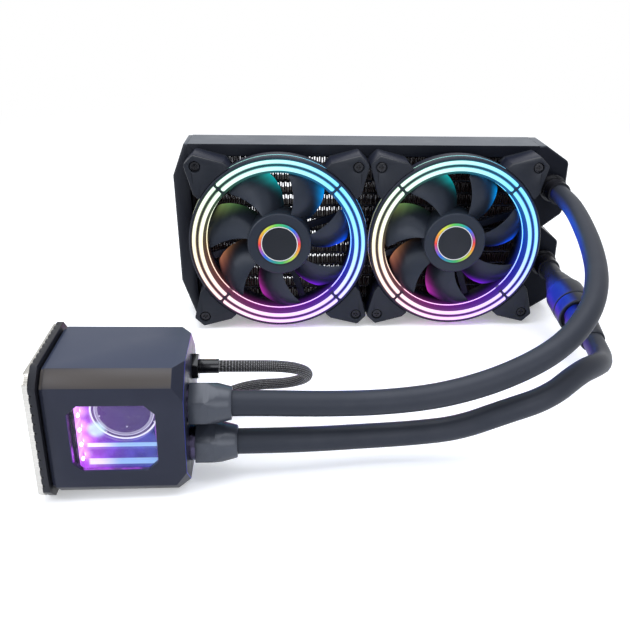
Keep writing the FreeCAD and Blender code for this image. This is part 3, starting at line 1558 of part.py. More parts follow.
def buildLead():
    exitHeight = size.casingTop + size.glandThick
    start = onBlock.multVec(Vector(size.glandHigh.value, size.glandAcross.value, exitHeight.value))
    blockAlong = onBlock.Rotation.multVec(Vector(0, 0, 1))
    points = [start, start + blockAlong * size.leadFirstRun.value] + leadRoute
    buildTube("pump_lead", points, size.leadRadius)
    # the rest of the lead lies coiled, with a short tail to its plug
    radius = size.coilRadius
    thick = 2 * size.leadRadius
    low = size.floorGap
    ring = tubePiece("coil", radius + thick / 2, radius - thick / 2, low, low + thick * size.coilTurns)
    tail = cylinder("coilTail", size.leadRadius, size.tailLength)
    tail.Placement = Placement(Vector(-radius.value, 0, (low + thick / 2).value),
                               Rotation(Vector(1, 0, 0), -90))
    entry = cylinder("coilEntry", size.leadRadius, leadRoute[-1].x - coilCentre.x)
    entry.Placement = Placement(leadRoute[-1] - coilCentre, Rotation(Vector(0, 1, 0), -90))
    coil = fuse("coiledLead", [ring, tail, entry])
    publish(coil, "pump_lead_coil", Placement(coilCentre, Rotation()))
    # four-way plug on the end of the tail
    plugWide = size.plugWidth
    spot = coilCentre + Vector(-radius.value - plugWide.value / 2, size.tailLength.value, low.value)
    shell = block("plugShell", plugWide, size.plugLength, size.plugHeight)
    ways = []
    for index in range(4):
        side = size.waySide
        ways.append(block("plugWay%d" % index, side, size.wayDeep, side, side + size.wayPitch * index,
                          size.plugLength - size.wayDeep, size.plugHeight / 2 - side / 2))
    rail = block("plugRail", plugWide / 2, size.plugLength / 2, size.railHeight, plugWide / 4,
                 size.plugLength / 8, size.plugHeight)
    plug = cut("leadPlug", fuse("plugWhole", [shell, rail]), fuse("plugWays", ways))
    publish(plug, "pump_lead_plug", Placement(spot, Rotation()))


buildRadiator()
buildFan("left", -1)
buildFan("right", 1)
buildFanScrews()
buildColdPlate()
buildPlateScrews()
buildMountingRing()
buildPumpBase()
buildCasing()
reservoirBack = buildReservoir()
buildLightStrip()
buildPump(reservoirBack)
buildBlockFittings()
buildPorts()
hoseFrame = buildCoupling()
buildHoses(hoseFrame)
buildLead()
doc.recompute()

# Every object must be sound before anything is written.
for thing in doc.Objects:
    if "Invalid" in thing.State or "Error" in thing.State:
        raise RuntimeError("failed: " + thing.Name)
for thing in nodes:
    if thing.Shape.isNull() or not thing.Shape.isValid():
        raise RuntimeError("unsound shape: " + thing.Label)
for thing in nodes:
    thing.Shape.exportStep("parts/" + thing.Label + ".step")
print("%d sub-parts written" % len(nodes))
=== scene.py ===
import bpy
import bmesh
import math
import random
from mathutils import Matrix, Vector


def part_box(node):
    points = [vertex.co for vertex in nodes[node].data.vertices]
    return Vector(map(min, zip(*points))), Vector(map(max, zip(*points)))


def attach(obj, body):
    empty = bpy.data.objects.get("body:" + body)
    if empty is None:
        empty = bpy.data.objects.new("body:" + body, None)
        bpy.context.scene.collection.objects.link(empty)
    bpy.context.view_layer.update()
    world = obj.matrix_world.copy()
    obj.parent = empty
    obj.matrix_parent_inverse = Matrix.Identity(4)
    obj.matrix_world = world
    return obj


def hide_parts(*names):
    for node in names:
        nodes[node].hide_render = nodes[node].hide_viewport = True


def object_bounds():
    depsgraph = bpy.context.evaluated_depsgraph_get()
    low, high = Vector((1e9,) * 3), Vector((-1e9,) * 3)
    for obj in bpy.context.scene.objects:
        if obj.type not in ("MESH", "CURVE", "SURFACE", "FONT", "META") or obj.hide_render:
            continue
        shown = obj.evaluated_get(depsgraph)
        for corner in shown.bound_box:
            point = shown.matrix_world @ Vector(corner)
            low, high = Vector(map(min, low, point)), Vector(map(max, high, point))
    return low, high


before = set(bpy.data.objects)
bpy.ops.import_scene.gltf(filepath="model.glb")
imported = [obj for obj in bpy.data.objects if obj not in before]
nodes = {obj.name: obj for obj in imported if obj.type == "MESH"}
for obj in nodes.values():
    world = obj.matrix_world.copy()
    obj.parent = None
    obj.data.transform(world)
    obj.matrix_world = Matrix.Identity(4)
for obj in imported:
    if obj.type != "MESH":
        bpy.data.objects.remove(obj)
cadLow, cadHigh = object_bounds()
scene = bpy.context.scene
mm = 0.001
print("frame loaded:", len(nodes), "nodes")


def point(x, y, z):
    return Vector((x, y, z)) * mm


# camera, as the photograph sees the cooler
view = {
    "place": point(-47.17, -513.52, 230.33),
    "yaw": -0.0977,
    "pitch": 0.4397,
    "roll": -0.0273,
    "sensor": 36,
    "focalPixels": 739.8,
    "frameWidth": 630,
    "centreX": 365.2,     # where the optical axis meets the frame, in pixels
    "centreY": 318.5,
}


def makeCamera():
    width = view["frameWidth"]
    data = bpy.data.cameras.new("camera")
    data.sensor_width = view["sensor"]
    data.lens = view["focalPixels"] * data.sensor_width / width
    data.shift_x = (width / 2 - view["centreX"]) / width
    data.shift_y = (view["centreY"] - width / 2) / width
    camera = bpy.data.objects.new("camera", data)
    turn = Matrix.Rotation(view["yaw"], 4, "Z") @ Matrix.Rotation(-view["pitch"], 4, "X")
    turn = turn @ Matrix.Rotation(view["roll"], 4, "Y") @ Matrix.Rotation(math.pi / 2, 4, "X")
    camera.matrix_world = Matrix.Translation(view["place"]) @ turn
    scene.collection.objects.link(camera)
    scene.camera = camera


makeCamera()

# the pump block lies on its side: degrees, and millimetres to its corner and its own middle
blockSizes = {
    "turn": 1.2,
    "tip": 91.8,
    "corner": (-161.8, -224.3, 1.94),
    "middle": (-33.25, 28, -7.8),
}
blockTurn = (Matrix.Rotation(math.radians(blockSizes["turn"]), 4, "Z")
             @ Matrix.Rotation(math.radians(blockSizes["tip"]), 4, "Y"))
blockPlace = (Matrix.Translation(Vector(blockSizes["corner"])) @ blockTurn
              @ Matrix.Translation(Vector(blockSizes["middle"])))


def onBlock(across, deep, along):
    # a spot across the block's width, through its depth and along from the cold plate
    return blockPlace @ Vector((across, deep, along))


# hoses and the sleeved lead: the same corners as the CAD tubes, in millimetres
cordSizes = {
    "hoseRadius": 6.35,
    "hoseRun": 27,
    "leadRadius": 3.0,
    "leadRun": 20,
    "coilCentre": (-150, -128),
    "coilRadius": 32,
    "coilHeight": 3.1,
    "coilRise": 6.1,       # one turn lies on the next
    "coilLevel": 0.25,     # the share of a turn before it starts to rise
    "coilTurns": 2.25,
    "coilSteps": 12,       # control points for each turn
    "sides": 7,
    "smooth": 10,
}
couplingWay = Vector((-0.0328, -0.9963, -0.0804)).normalized()
couplingPlace = Vector((131.5, -38, 39.3)) + couplingWay * 11.24

upperHose = [
    onBlock(-7.75, -10, 71.7), onBlock(-7.75, -10, 71.7 + cordSizes["hoseRun"]),
    (-36, -203, 37.5), (-5, -202, 37), (25, -203, 41), (55, -202.5, 50.5), (82, -197, 62.5),
    (102, -180, 74), (114.5, -154, 81.5), (122, -124, 87), (127, -94, 91), (130.5, -66, 94),
    (131.5, -44, 95), (131.5, -27, 95)]
lowerHose = [
    onBlock(14.25, -10, 74.1), onBlock(14.25, -10, 74.1 + cordSizes["hoseRun"]),
    (-42, -202, 16.4), (-16.9, -199, 15.3), (8.2, -198.5, 15.9), (33, -199.6, 19),
    (54.7, -201.5, 28.9), (79, -198.9, 35.6), (98.9, -184.9, 41.8), (113.4, -172.8, 39.5),
    (123, -157.9, 33), couplingPlace + couplingWay * 92, couplingPlace + couplingWay * 76]
leadRoute = [
    onBlock(-14.75, 14, 71.1), onBlock(-14.75, 14, 71.1 + cordSizes["leadRun"]),
    (-57.5, -180.3, 46.8), (-46.7, -174.5, 41.5), (-42.5, -165.2, 32.8), (-46.7, -155.8, 24.2),
    (-57.5, -150, 18.8), (-71, -149.7, 18.6), (-84, -150.5, 16), (-96, -153.5, 11),
    (-107, -157.5, 5.8), (-117.5, -160, 3.1), (-128, -160, 3.1)]
plugTail = [(-182, -112, 14), (-182, -103, 6.5), (-182, -95, 3.6), (-182, -92, 3.5)]


def coilPoints():
    # a neat coil behind the block, wound clockwise and rising a lead's width each turn
    found = []
    steps = int(cordSizes["coilTurns"] * cordSizes["coilSteps"])
    reach = cordSizes["coilRadius"] / math.cos(math.pi / cordSizes["coilSteps"])
    x, y = cordSizes["coilCentre"]
    for step in range(steps):
        turn = (step + 0.5) / cordSizes["coilSteps"]
        angle = -math.pi / 2 - 2 * math.pi * turn
        rise = max(0, turn - cordSizes["coilLevel"]) * cordSizes["coilRise"]
        found.append((x + reach * math.cos(angle), y + reach * math.sin(angle),
                      cordSizes["coilHeight"] + rise))
    return found


def makeCord(name, points, radius):
    # each knot carries the cord's radius, so the curve's own box is true to size
    curve = bpy.data.curves.new(name, "CURVE")
    curve.dimensions = "3D"
    curve.bevel_depth = 1
    curve.bevel_resolution = cordSizes["sides"]
    curve.resolution_u = cordSizes["smooth"]
    curve.use_fill_caps = True
    spline = curve.splines.new("NURBS")
    spline.points.add(len(points) - 1)
    for knot, spot in zip(spline.points, points):
        knot.co = (*(Vector(spot) * mm), 1)
        knot.radius = radius * mm
    spline.order_u = 3
    spline.use_endpoint_u = True
    cord = bpy.data.objects.new(name, curve)
    scene.collection.objects.link(cord)
    return cord


def cordLength(cord):
    # measured along the spline itself, with no thickness
    thickness = cord.data.bevel_depth
    cord.data.bevel_depth = 0
    line = bpy.data.meshes.new_from_object(cord)
    cord.data.bevel_depth = thickness
    spots = [vertex.co.copy() for vertex in line.vertices]
    bpy.data.meshes.remove(line)
    return round(sum((b - a).length for a, b in zip(spots, spots[1:])), 3)


hoseUpper = makeCord("hoseUpper", upperHose, cordSizes["hoseRadius"])
hoseLower = makeCord("hoseLower", lowerHose, cordSizes["hoseRadius"])
pumpLead = makeCord("pumpLead", leadRoute + coilPoints() + plugTail, cordSizes["leadRadius"])
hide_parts("hose_upper")
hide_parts("hose_lower")
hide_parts("pump_lead", "pump_lead_coil")
for cord, route, radius, far, kind, lay, extra in (
        (hoseUpper, upperHose, "hoseRadius", "object", "stiff", "loose", []),
        (hoseLower, lowerHose, "hoseRadius", "object", "stiff", "loose", []),
        (pumpLead, leadRoute, "leadRadius", "plug", "limp", "coiled", [nodes["pump_lead_plug"]])):
    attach(cord, "cooler")
    length = cordLength(cord)
    print("cord", cord.name, "length", length)
print("camera and cords made")


# nodes: each helper adds to a tree, its own or its sockets', and gives back the socket to use
def treeOf(*values):
    return next(value.id_data for value in values if isinstance(value, bpy.types.NodeSocket))


def feed(socket, value):
    if isinstance(value, bpy.types.NodeSocket):
        socket.id_data.links.new(value, socket)
    elif socket.type == "RGBA":
        socket.default_value = (*value[:3], 1)
    else:
        socket.default_value = value


def fill(node, values):
    for label, value in values.items():
        feed(node.inputs[label], value)


def addNode(tree, kind, values=None, **settings):
    node = tree.nodes.new(kind)
    for key, value in settings.items():
        setattr(node, key, value)
    fill(node, values or {})
    return node


def newGroup(name, inputs, outputs):
    tree = bpy.data.node_groups.new(name, "ShaderNodeTree")
    for label, kind, value in inputs:
        socket = tree.interface.new_socket(name=label, in_out="INPUT", socket_type=kind)
        socket.default_value = value
    for label, kind in outputs:
        tree.interface.new_socket(name=label, in_out="OUTPUT", socket_type=kind)
    return tree, tree.nodes.new("NodeGroupInput").outputs, tree.nodes.new("NodeGroupOutput")


def maths(operation, *values):
    return addNode(treeOf(*values), "ShaderNodeMath", dict(enumerate(values)),
                   operation=operation).outputs[0]


def product(*values):
    found = values[0]
    for value in values[1:]:
        found = maths("MULTIPLY", found, value)
    return found


def strongest(values):
    found = values[0]
    for value in values[1:]:
        found = maths("MAXIMUM", found, value)
    return found


def hypotenuse(a, b):
    square = maths("ADD", maths("MULTIPLY", a, a), maths("MULTIPLY", b, b))
    return maths("SQRT", square)


def turnShare(x, z):
    # share of a turn from the right, over the top
    angle = maths("ARCTAN2", z, x)
    return maths("FRACT", maths("MULTIPLY_ADD", angle, 1 / (2 * math.pi), 1.0))


def ease(value, low, high, toLow=0.0, toHigh=1.0):
    # smooth step from toLow at low to toHigh at high
    return addNode(treeOf(value), "ShaderNodeMapRange", {
        "Value": value, "From Min": low, "From Max": high, "To Min": toLow, "To Max": toHigh},
        interpolation_type="SMOOTHSTEP").outputs[0]


def peak(value, middle, half, soft):
    # one inside middle plus or minus half, falling to nothing over soft
    away = maths("ABSOLUTE", maths("SUBTRACT", value, middle))
    return ease(away, half, half + soft, 1.0, 0.0)


def mixColour(amount, first, second):
    return addNode(treeOf(amount, first, second), "ShaderNodeMix",
                   {0: amount, 6: first, 7: second}, data_type="RGBA").outputs[2]


def vectors(operation, first, second, output="Vector"):
    return addNode(treeOf(first, second), "ShaderNodeVectorMath", {0: first, 1: second},
                   operation=operation).outputs[output]


def scaled(colour, amount):
    return addNode(treeOf(colour, amount), "ShaderNodeVectorMath", {0: colour, "Scale": amount},
                   operation="SCALE").outputs[0]


def ramp(value, stops):
    node = addNode(treeOf(value), "ShaderNodeValToRGB", {0: value})
    elements = node.color_ramp.elements
    for index, (place, colour) in enumerate(stops.items()):
        stop = elements[index] if index < 2 else elements.new(place)
        stop.position = place
        stop.color = (*colour, 1)
    return node.outputs[0]


def split(vector):
    return addNode(treeOf(vector), "ShaderNodeSeparateXYZ", {0: vector}).outputs


def surface(tree, label):
    return addNode(tree, "ShaderNodeNewGeometry").outputs[label]


def facing(tree, way):
    # how far the surface's normal points this way
    return vectors("DOT_PRODUCT", surface(tree, "Normal"), way, "Value")


def ownPlace(tree, label="Object"):
    return addNode(tree, "ShaderNodeTexCoord").outputs[label]


def noise(tree, scale, detail=2, roughness=0.5, place=None):
    values = {"Vector": place or ownPlace(tree), "Scale": scale, "Detail": detail,
              "Roughness": roughness}
    return addNode(tree, "ShaderNodeTexNoise", values).outputs[0]


bubbleSizes = {
    "spread": 7.3,      # turns a cell's colour into a chance
    "often": 0.80,      # cells with a chance under this stay empty
}


def bubbles(tree, scale, core, rim, bright, sure):
    # bright specks, as painted glints, in a few cells of a pattern
    values = {"Vector": ownPlace(tree), "Scale": scale}
    cells = addNode(tree, "ShaderNodeTexVoronoi", values).outputs
    chance = maths("FRACT", product(cells["Color"], bubbleSizes["spread"]))
    return product(ease(cells["Distance"], core, rim, bright, 0.0),
                   ease(chance, bubbleSizes["often"], sure))


# shared effects as node groups
grainLook = {
    "broadDetail": 5,
    "broadRoughness": 0.6,
    "marks": (0.42, 0.72),       # noise at which a handling mark begins and is full
    "speck": (0.35, -0.1),       # the fine grain's part in the colour
    "share": 0.5,
    "polish": (-0.08, 0.04),     # how marks change the roughness
    "bump": 0.6,
    "coatRoughness": 0.12,
}


def makeGrainGroup():
    # fine moulded grain with broad handling marks
    number, colour = "NodeSocketFloat", "NodeSocketColor"
    tree, given, outside = newGroup("mouldGrain", [
        ("Grain Size", number, 3000.0), ("Mark Size", number, 25.0),
        ("Base", colour, (0.05, 0.05, 0.05, 1)), ("Worn", colour, (0.1, 0.1, 0.1, 1)),
        ("Roughness", number, 0.5)],
        [("Colour", colour), ("Roughness", number), ("Height", number)])
    fine = noise(tree, given["Grain Size"])
    broad = noise(tree, given["Mark Size"], grainLook["broadDetail"], grainLook["broadRoughness"])
    marks = ease(broad, *grainLook["marks"])
    speck = maths("MULTIPLY_ADD", fine, *grainLook["speck"])
    amount = product(maths("ADD", marks, speck), grainLook["share"])
    shift = maths("MULTIPLY_ADD", marks, *grainLook["polish"])
    fill(outside, {
        "Colour": mixColour(amount, given["Base"], given["Worn"]),
        "Roughness": maths("ADD", given["Roughness"], shift), "Height": fine})
    return tree


ringSizes = {
    "front": -40.0,          # Y of the fans' front plane, millimetres
    "height": 62.0,
    "left": -60.0,
    "right": 60.0,
    "duct": 48.9,
    "bands": ((56.45, 0.88), (51.85, 1.0)),    # middle radius and half width of each lit band
    "bridge": (1.2, 3.4),    # where light begins beside the bridges, and is full
    # by the share of a turn from the right, over the top: glow on the plastic, and lit bands
    "glow": {0.0: (0.0, 0.09, 0.85), 0.13: (0.0, 0.22, 0.62), 0.26: (0.0, 0.27, 0.28),
             0.38: (0.05, 0.16, 0.05), 0.50: (0.19, 0.11, 0.03), 0.60: (0.28, 0.07, 0.06),
             0.70: (0.33, 0.02, 0.28), 0.82: (0.20, 0.01, 0.56), 0.92: (0.03, 0.02, 0.72),
             1.0: (0.0, 0.09, 0.85)},
    "light": {0.0: (0.34, 0.78, 1), 0.13: (0.20, 0.76, 1), 0.26: (0.52, 1, 0.98),
              0.38: (0.80, 1, 0.86), 0.50: (1, 0.94, 0.66), 0.60: (1, 0.78, 0.72),
              0.74: (1, 0.64, 1), 0.86: (0.78, 0.62, 1), 1.0: (0.34, 0.78, 1)},
}


def makeRingGroup():
    # colours and distances round a fan's axis, which runs along Y
    numbers = [(label, "NodeSocketFloat") for label in ("Radius", "Depth", "Lean", "Bridge")]
    tree, given, outside = newGroup(
        "ringSpectrum", [("Centre", "NodeSocketVector", (0, 0, 0))],
        [("Glow", "NodeSocketColor"), ("Light", "NodeSocketColor")] + numbers)
    away = vectors("SUBTRACT", surface(tree, "Position"), given["Centre"])
    x, y, z = split(scaled(away, 1 / mm))
    normal = split(surface(tree, "Normal"))
    turn = turnShare(x, z)
    radius = hypotenuse(x, z)
    # how far the surface leans clockwise, as seen from the front
    lean = maths("SUBTRACT", maths("MULTIPLY", z, normal["X"]),
                 maths("MULTIPLY", x, normal["Z"]))
    # nothing on the four bridges between the lit arcs, one elsewhere
    skew = maths("ABSOLUTE", maths("SUBTRACT", maths("ABSOLUTE", x),
                                         maths("ABSOLUTE", z)))
    fill(outside, {
        "Glow": ramp(turn, ringSizes["glow"]), "Light": ramp(turn, ringSizes["light"]),
        "Radius": radius, "Depth": y, "Lean": maths("DIVIDE", lean, radius),
        "Bridge": ease(skew, *ringSizes["bridge"])})
    return tree


def makeBlockGroup():
    # millimetres across, through and along the pump block
    labels = ("Across", "Deep", "Along")
    tree, _, outside = newGroup("blockDirections", [],
                                [(label, "NodeSocketFloat") for label in labels])
    place = surface(tree, "Position")
    for label, row in zip(labels, blockPlace.inverted()):
        reach = vectors("DOT_PRODUCT", place, Vector(row[:3]) / mm, "Value")
        fill(outside, {label: maths("ADD", reach, row[3])})
    return tree


grainGroup = makeGrainGroup()
ringGroup = makeRingGroup()
blockGroup = makeBlockGroup()


def useGroup(tree, group, values=None):
    return addNode(tree, "ShaderNodeGroup", values, node_tree=group).outputs


def ringCentre(side):
    return point(ringSizes[side], ringSizes["front"], ringSizes["height"])


def useRing(tree, side):
    return useGroup(tree, ringGroup, {"Centre": ringCentre(side)})


def insideOf(material):
    return material.node_tree, material.node_tree.nodes["Principled BSDF"]


def newMaterial(name):
    material = bpy.data.materials.new(name)
    material.use_nodes = True
    return material, *insideOf(material)


def addBump(shader, height, strength, distance):
    bump = addNode(shader.id_data, "ShaderNodeBump", {
        "Strength": strength, "Distance": distance * mm, "Height": height})
    fill(shader, {"Normal": bump.outputs[0]})


def shine(shader, colour, strength=1):
    fill(shader, {"Emission Color": colour, "Emission Strength": strength})


def repaint(shader, amount, colour):
    # lays a colour over the one the shader has
    plain = shader.inputs["Base Color"].links[0].from_socket
    fill(shader, {"Base Color": mixColour(amount, plain, colour)})


def moulded(name, base, worn, roughness, grain=2500, marks=30, depth=0.03, coat=0.0, metallic=0.0,
            gloss=0.22, tint=(0.84, 0.89, 1.0)):
    # plastics, rubbers and paints: one grain group with each finish's own values
    material, tree, shader = newMaterial(name)
    group = useGroup(tree, grainGroup, {"Grain Size": grain, "Mark Size": marks, "Base": base,
                                        "Worn": worn, "Roughness": roughness})
    addBump(shader, group["Height"], grainLook["bump"], depth)
    fill(shader, {
        "Base Color": group["Colour"], "Roughness": group["Roughness"], "Metallic": metallic,
        "Specular IOR Level": gloss, "Specular Tint": tint, "Coat Weight": coat,
        "Coat Roughness": grainLook["coatRoughness"]})
    return material


finishes = {
    "basePlastic": dict(base=(0.009, 0.010, 0.014), worn=(0.018, 0.019, 0.025), roughness=0.45),
    "corePaint": dict(base=(0.018, 0.010, 0.010), worn=(0.080, 0.040, 0.034), roughness=0.45,
                      metallic=0.5, marks=160),
    "tubePaint": dict(base=(0.010, 0.010, 0.015), worn=(0.034, 0.030, 0.036), roughness=0.40,
                      marks=120),
    "padRubber": dict(base=(0.009, 0.011, 0.016), worn=(0.018, 0.020, 0.027), roughness=0.42,
                      gloss=0.24),
    "screwBlack": dict(base=(0.010, 0.010, 0.012), worn=(0.04, 0.04, 0.045), roughness=0.16,
                       metallic=0.6, gloss=0.5),
    "darkBoard": dict(base=(0.03, 0.04, 0.035), worn=(0.06, 0.08, 0.07), roughness=0.45),
    "turnedSteel": dict(base=(0.50, 0.50, 0.51), worn=(0.65, 0.65, 0.66), roughness=0.25,
                        metallic=1.0),
    # dark chrome: its violet tint is a painted reflection of purple light
    "darkChrome": dict(base=(0.045, 0.040, 0.075), worn=(0.08, 0.07, 0.12), roughness=0.14,
                       metallic=1.0, depth=0.004),
    "magnetBlack": dict(base=(0.05, 0.045, 0.04), worn=(0.09, 0.08, 0.07), roughness=0.6),
    "windings": dict(base=(0.45, 0.20, 0.08), worn=(0.60, 0.32, 0.15), roughness=0.4,
                     metallic=0.7),
    "bronze": dict(base=(0.50, 0.33, 0.15), worn=(0.62, 0.45, 0.25), roughness=0.4, metallic=1.0),
    "ringRubber": dict(base=(0.006, 0.006, 0.009), worn=(0.014, 0.014, 0.018), roughness=0.36,
                       gloss=0.28),
    "glossFitting": dict(base=(0.006, 0.006, 0.008), worn=(0.012, 0.012, 0.015), roughness=0.16,
                         depth=0.006, coat=0.25),
    "bootRubber": dict(base=(0.021, 0.025, 0.036), worn=(0.038, 0.044, 0.058), roughness=0.34,
                       marks=60, gloss=0.60),
    "hoseRubber": dict(base=(0.016, 0.019, 0.028), worn=(0.027, 0.030, 0.041), roughness=0.48,
                       marks=18, gloss=0.26),
    "couplingRubber": dict(base=(0.009, 0.011, 0.017), worn=(0.018, 0.020, 0.028), roughness=0.42,
                           marks=60, gloss=0.30),
    "plugNylon": dict(base=(0.020, 0.020, 0.022), worn=(0.04, 0.04, 0.043), roughness=0.5),
}

casingLook = {
    "finish": dict(base=(0.009, 0.011, 0.022), worn=(0.015, 0.018, 0.034), roughness=0.34,
                   depth=0.012, gloss=0.27, tint=(0.80, 0.84, 1.0)),
    "top": (0.026, 0.034, 0.062),       # painted sheen: the top drawn lighter and bluer, as the room's light falls on it
    "topSheenLean": (0.90, 0.98),
    "strip": (0.052, 0.046, 0.042),     # painted reflection: the slope between top and front drawn warmer and lighter, mirroring a warm room's light
    "stripWay": (0.0, -0.70, 0.71),
    "stripSheenLean": (0.93, 0.99),
    "rim": (0.03, 0.045, 0.50),         # the fans' light on the edges round the far end
    "rimLean": (0.93, 0.035, 0.02),     # share of the normal along the block there
}


def makeCasing():
    # satin black moulding, with painted sheen: the top lighter and bluer, the slope between top and
    # front warmer and lighter, and the fans' light painted on the far end's edges
    material = moulded("casingPlastic", **casingLook["finish"])
    tree, shader = insideOf(material)
    # painted sheen on the top, and painted reflection on the slope between top and front
    top = ease(facing(tree, (0, 0, 1)), *casingLook["topSheenLean"])
    repaint(shader, top, casingLook["top"])
    strip = ease(facing(tree, casingLook["stripWay"]), *casingLook["stripSheenLean"])
    repaint(shader, strip, casingLook["strip"])
    along = facing(tree, blockTurn @ Vector((0, 0, 1)))
    shine(shader, scaled(casingLook["rim"], peak(along, *casingLook["rimLean"])))
    return material


paintLook = {
    "finish": dict(base=(0.004, 0.005, 0.009), worn=(0.009, 0.010, 0.016), roughness=0.36,
                   grain=1200, depth=0.02),
    "up": (0.058, 0.068, 0.086),        # painted sheen: faces turned up drawn lighter, as the room's light falls on them
    "upSheenLean": (0.6, 0.95),
    "gloss": (0.34, 0.08),              # of the front faces, at the left end and at the right one
    "otherGloss": 0.22,
    "frontLean": (-0.95, -0.6),
}


def makePaint():
    # powder coat of the radiator, with painted sheen: lighter where it faces up
    material = moulded("radiatorPaint", **paintLook["finish"])
    tree, shader = insideOf(material)
    # painted sheen on faces turned up
    up = ease(facing(tree, (0, 0, 1)), *paintLook["upSheenLean"])
    repaint(shader, up, paintLook["up"])
    x = split(surface(tree, "Position"))["X"]
    gloss = ease(x, cadLow.x, cadHigh.x, *paintLook["gloss"])
    fill(shader, {"Specular IOR Level": ease(
        facing(tree, (0, 1, 0)), *paintLook["frontLean"], gloss, paintLook["otherGloss"])})
    return material


nickelLook = {
    "stretch": (60, 60, 4000),
    "detail": 4,
    "dark": (0.36, 0.35, 0.33),
    "bright": (0.64, 0.63, 0.60),
    "roughness": (0.2, 0.16),
    "bump": (0.3, 0.02),
}


def makeNickel():
    # brushed nickel plate
    material, tree, shader = newMaterial("nickelPlate")
    stretch = {0: ownPlace(tree), "Scale": nickelLook["stretch"]}
    place = addNode(tree, "ShaderNodeMapping", stretch).outputs[0]
    brush = noise(tree, 1, nickelLook["detail"], place=place)
    fill(shader, {
        "Base Color": mixColour(brush, nickelLook["dark"], nickelLook["bright"]),
        "Roughness": maths("MULTIPLY_ADD", brush, *nickelLook["roughness"]),
        "Metallic": 1})
    addBump(shader, brush, *nickelLook["bump"])
    return material


spillSizes = {
    "from": point(118, -38, 62),
    "rise": (0.028, 0.052),      # distances over which the light comes in and dies away
    "fall": (0.070, 0.140),
    "turns": (0.026, 0.042),     # heights between which violet turns to blue
    "blue": (0.0, 0.030, 0.62),
    "violet": (0.12, 0.010, 0.42),
    "couplingRubber": dict(way=(-0.88, -0.10, 0.46), low=0.55, strength=0.62),
    "hoseRubber": dict(way=(-0.95, 0.30, 0.0), low=0.70, strength=0.50),
}


def addSpill(material, way, low, strength):
    # the right fan's light, caught by the sides of things that face it
    tree, shader = insideOf(material)
    place = surface(tree, "Position")
    turned = ease(facing(tree, Vector(way).normalized()), low, 1.0)
    away = vectors("DISTANCE", place, spillSizes["from"], "Value")
    near = product(ease(away, *spillSizes["rise"]),
                   ease(away, *spillSizes["fall"], 1.0, 0.0))
    height = ease(split(place)["Z"], *spillSizes["turns"])
    colour = mixColour(height, spillSizes["violet"], spillSizes["blue"])
    shine(shader, scaled(colour, product(turned, near, strength)))


lightSizes = {
    "edgeGlow": 0.75,     # the bands' edges, against the glow on the plastic
    "edgeSoft": 0.35,
    "body": 0.25,         # the guide's own colour, against its light
    "bands": dict(throw=13.0, strength=1.05, roughness=0.35),
    "lines": dict(throw=14.0, strength=1, roughness=0.3),
    "outerLine": (52, 56),      # radii between which the inner line's look turns to the outer one's
    "innerMix": (0.25, 3, 1.35),      # share and gain of the glow, and brightness
    "outerMix": (0.55, 2, 1.0),
}


def addLight(shader, ring, shown, throw, strength, roughness):
    # throws more coloured light on things nearby than it shows
    path = addNode(shader.id_data, "ShaderNodeLightPath").outputs
    thrown = scaled(ring["Glow"], throw)
    shine(shader, mixColour(path["Is Camera Ray"], thrown, shown), strength)
    fill(shader, {"Base Color": scaled(ring["Light"], lightSizes["body"]),
                        "Roughness": roughness})


def makeRingLight(side):
    # milky light guide: nearly white along the middle of each band, coloured at its edges
    material, tree, shader = newMaterial("ringLight" + side.capitalize())
    ring = useRing(tree, side)
    middle = strongest([peak(ring["Radius"], radius, half, lightSizes["edgeSoft"])
                              for radius, half in ringSizes["bands"]])
    edge = scaled(ring["Glow"], lightSizes["edgeGlow"])
    addLight(shader, ring, mixColour(middle, edge, ring["Light"]),
             **lightSizes["bands"])
    return material


def makeLightLine(side):
    # thin edge of the light guide, as it shows on the duct's wall and round the outside
    material, tree, shader = newMaterial("lightLine" + side.capitalize())
    ring = useRing(tree, side)
    pale, dim = (
        scaled(mixColour(share, ring["Light"], scaled(ring["Glow"], gain)),
               bright)
        for share, gain, bright in (lightSizes["innerMix"], lightSizes["outerMix"]))
    outer = ease(ring["Radius"], *lightSizes["outerLine"])
    shown = scaled(mixColour(outer, pale, dim), ring["Bridge"])
    addLight(shader, ring, shown, **lightSizes["lines"])
    return material


frameGlow = {
    "finish": dict(base=(0.007, 0.009, 0.019), worn=(0.014, 0.016, 0.028), roughness=0.42,
                   gloss=0.2),
    # radius as a share of the reach: how strongly the front face glows there
    "face": {0.810: 0.42, 0.840: 0.40, 0.880: 0.55, 0.895: 0.20, 0.910: 0.20, 0.925: 0.52,
             0.950: 0.46, 0.972: 0.10, 0.985: 0.0},
    "reach": 60,
    "faceDepth": (3.6, 5.2),     # the face's glow dies away between these depths
    "bridges": (0.75, 0.25),
    "start": (-1.2, -0.6),       # from the duct's wall, where the face's glow begins
    "wall": 0.45,
    "wallReach": 20.0,
    "wallBand": (0.2, 0.2),
}


def makeFanPlastic(side):
    # dark frame, with the lights' glow painted on the ring's face and down the duct
    material = moulded("fanPlastic" + side.capitalize(), **frameGlow["finish"])
    tree, shader = insideOf(material)
    ring = useRing(tree, side)
    stops = {place: (value,) * 3 for place, value in frameGlow["face"].items()}
    duct = ringSizes["duct"]
    face = product(
        ramp(maths("DIVIDE", ring["Radius"], frameGlow["reach"]), stops),
        ease(ring["Depth"], *frameGlow["faceDepth"], 1.0, 0.0),
        maths("MULTIPLY_ADD", ring["Bridge"], *frameGlow["bridges"]),
        ease(ring["Radius"], *(duct + start for start in frameGlow["start"])))
    wall = product(
        ease(ring["Depth"], 0.0, frameGlow["wallReach"], frameGlow["wall"], 0.0),
        peak(ring["Radius"], duct, *frameGlow["wallBand"]))
    shine(shader, scaled(ring["Glow"], maths("MAXIMUM", face, wall)))
    return material


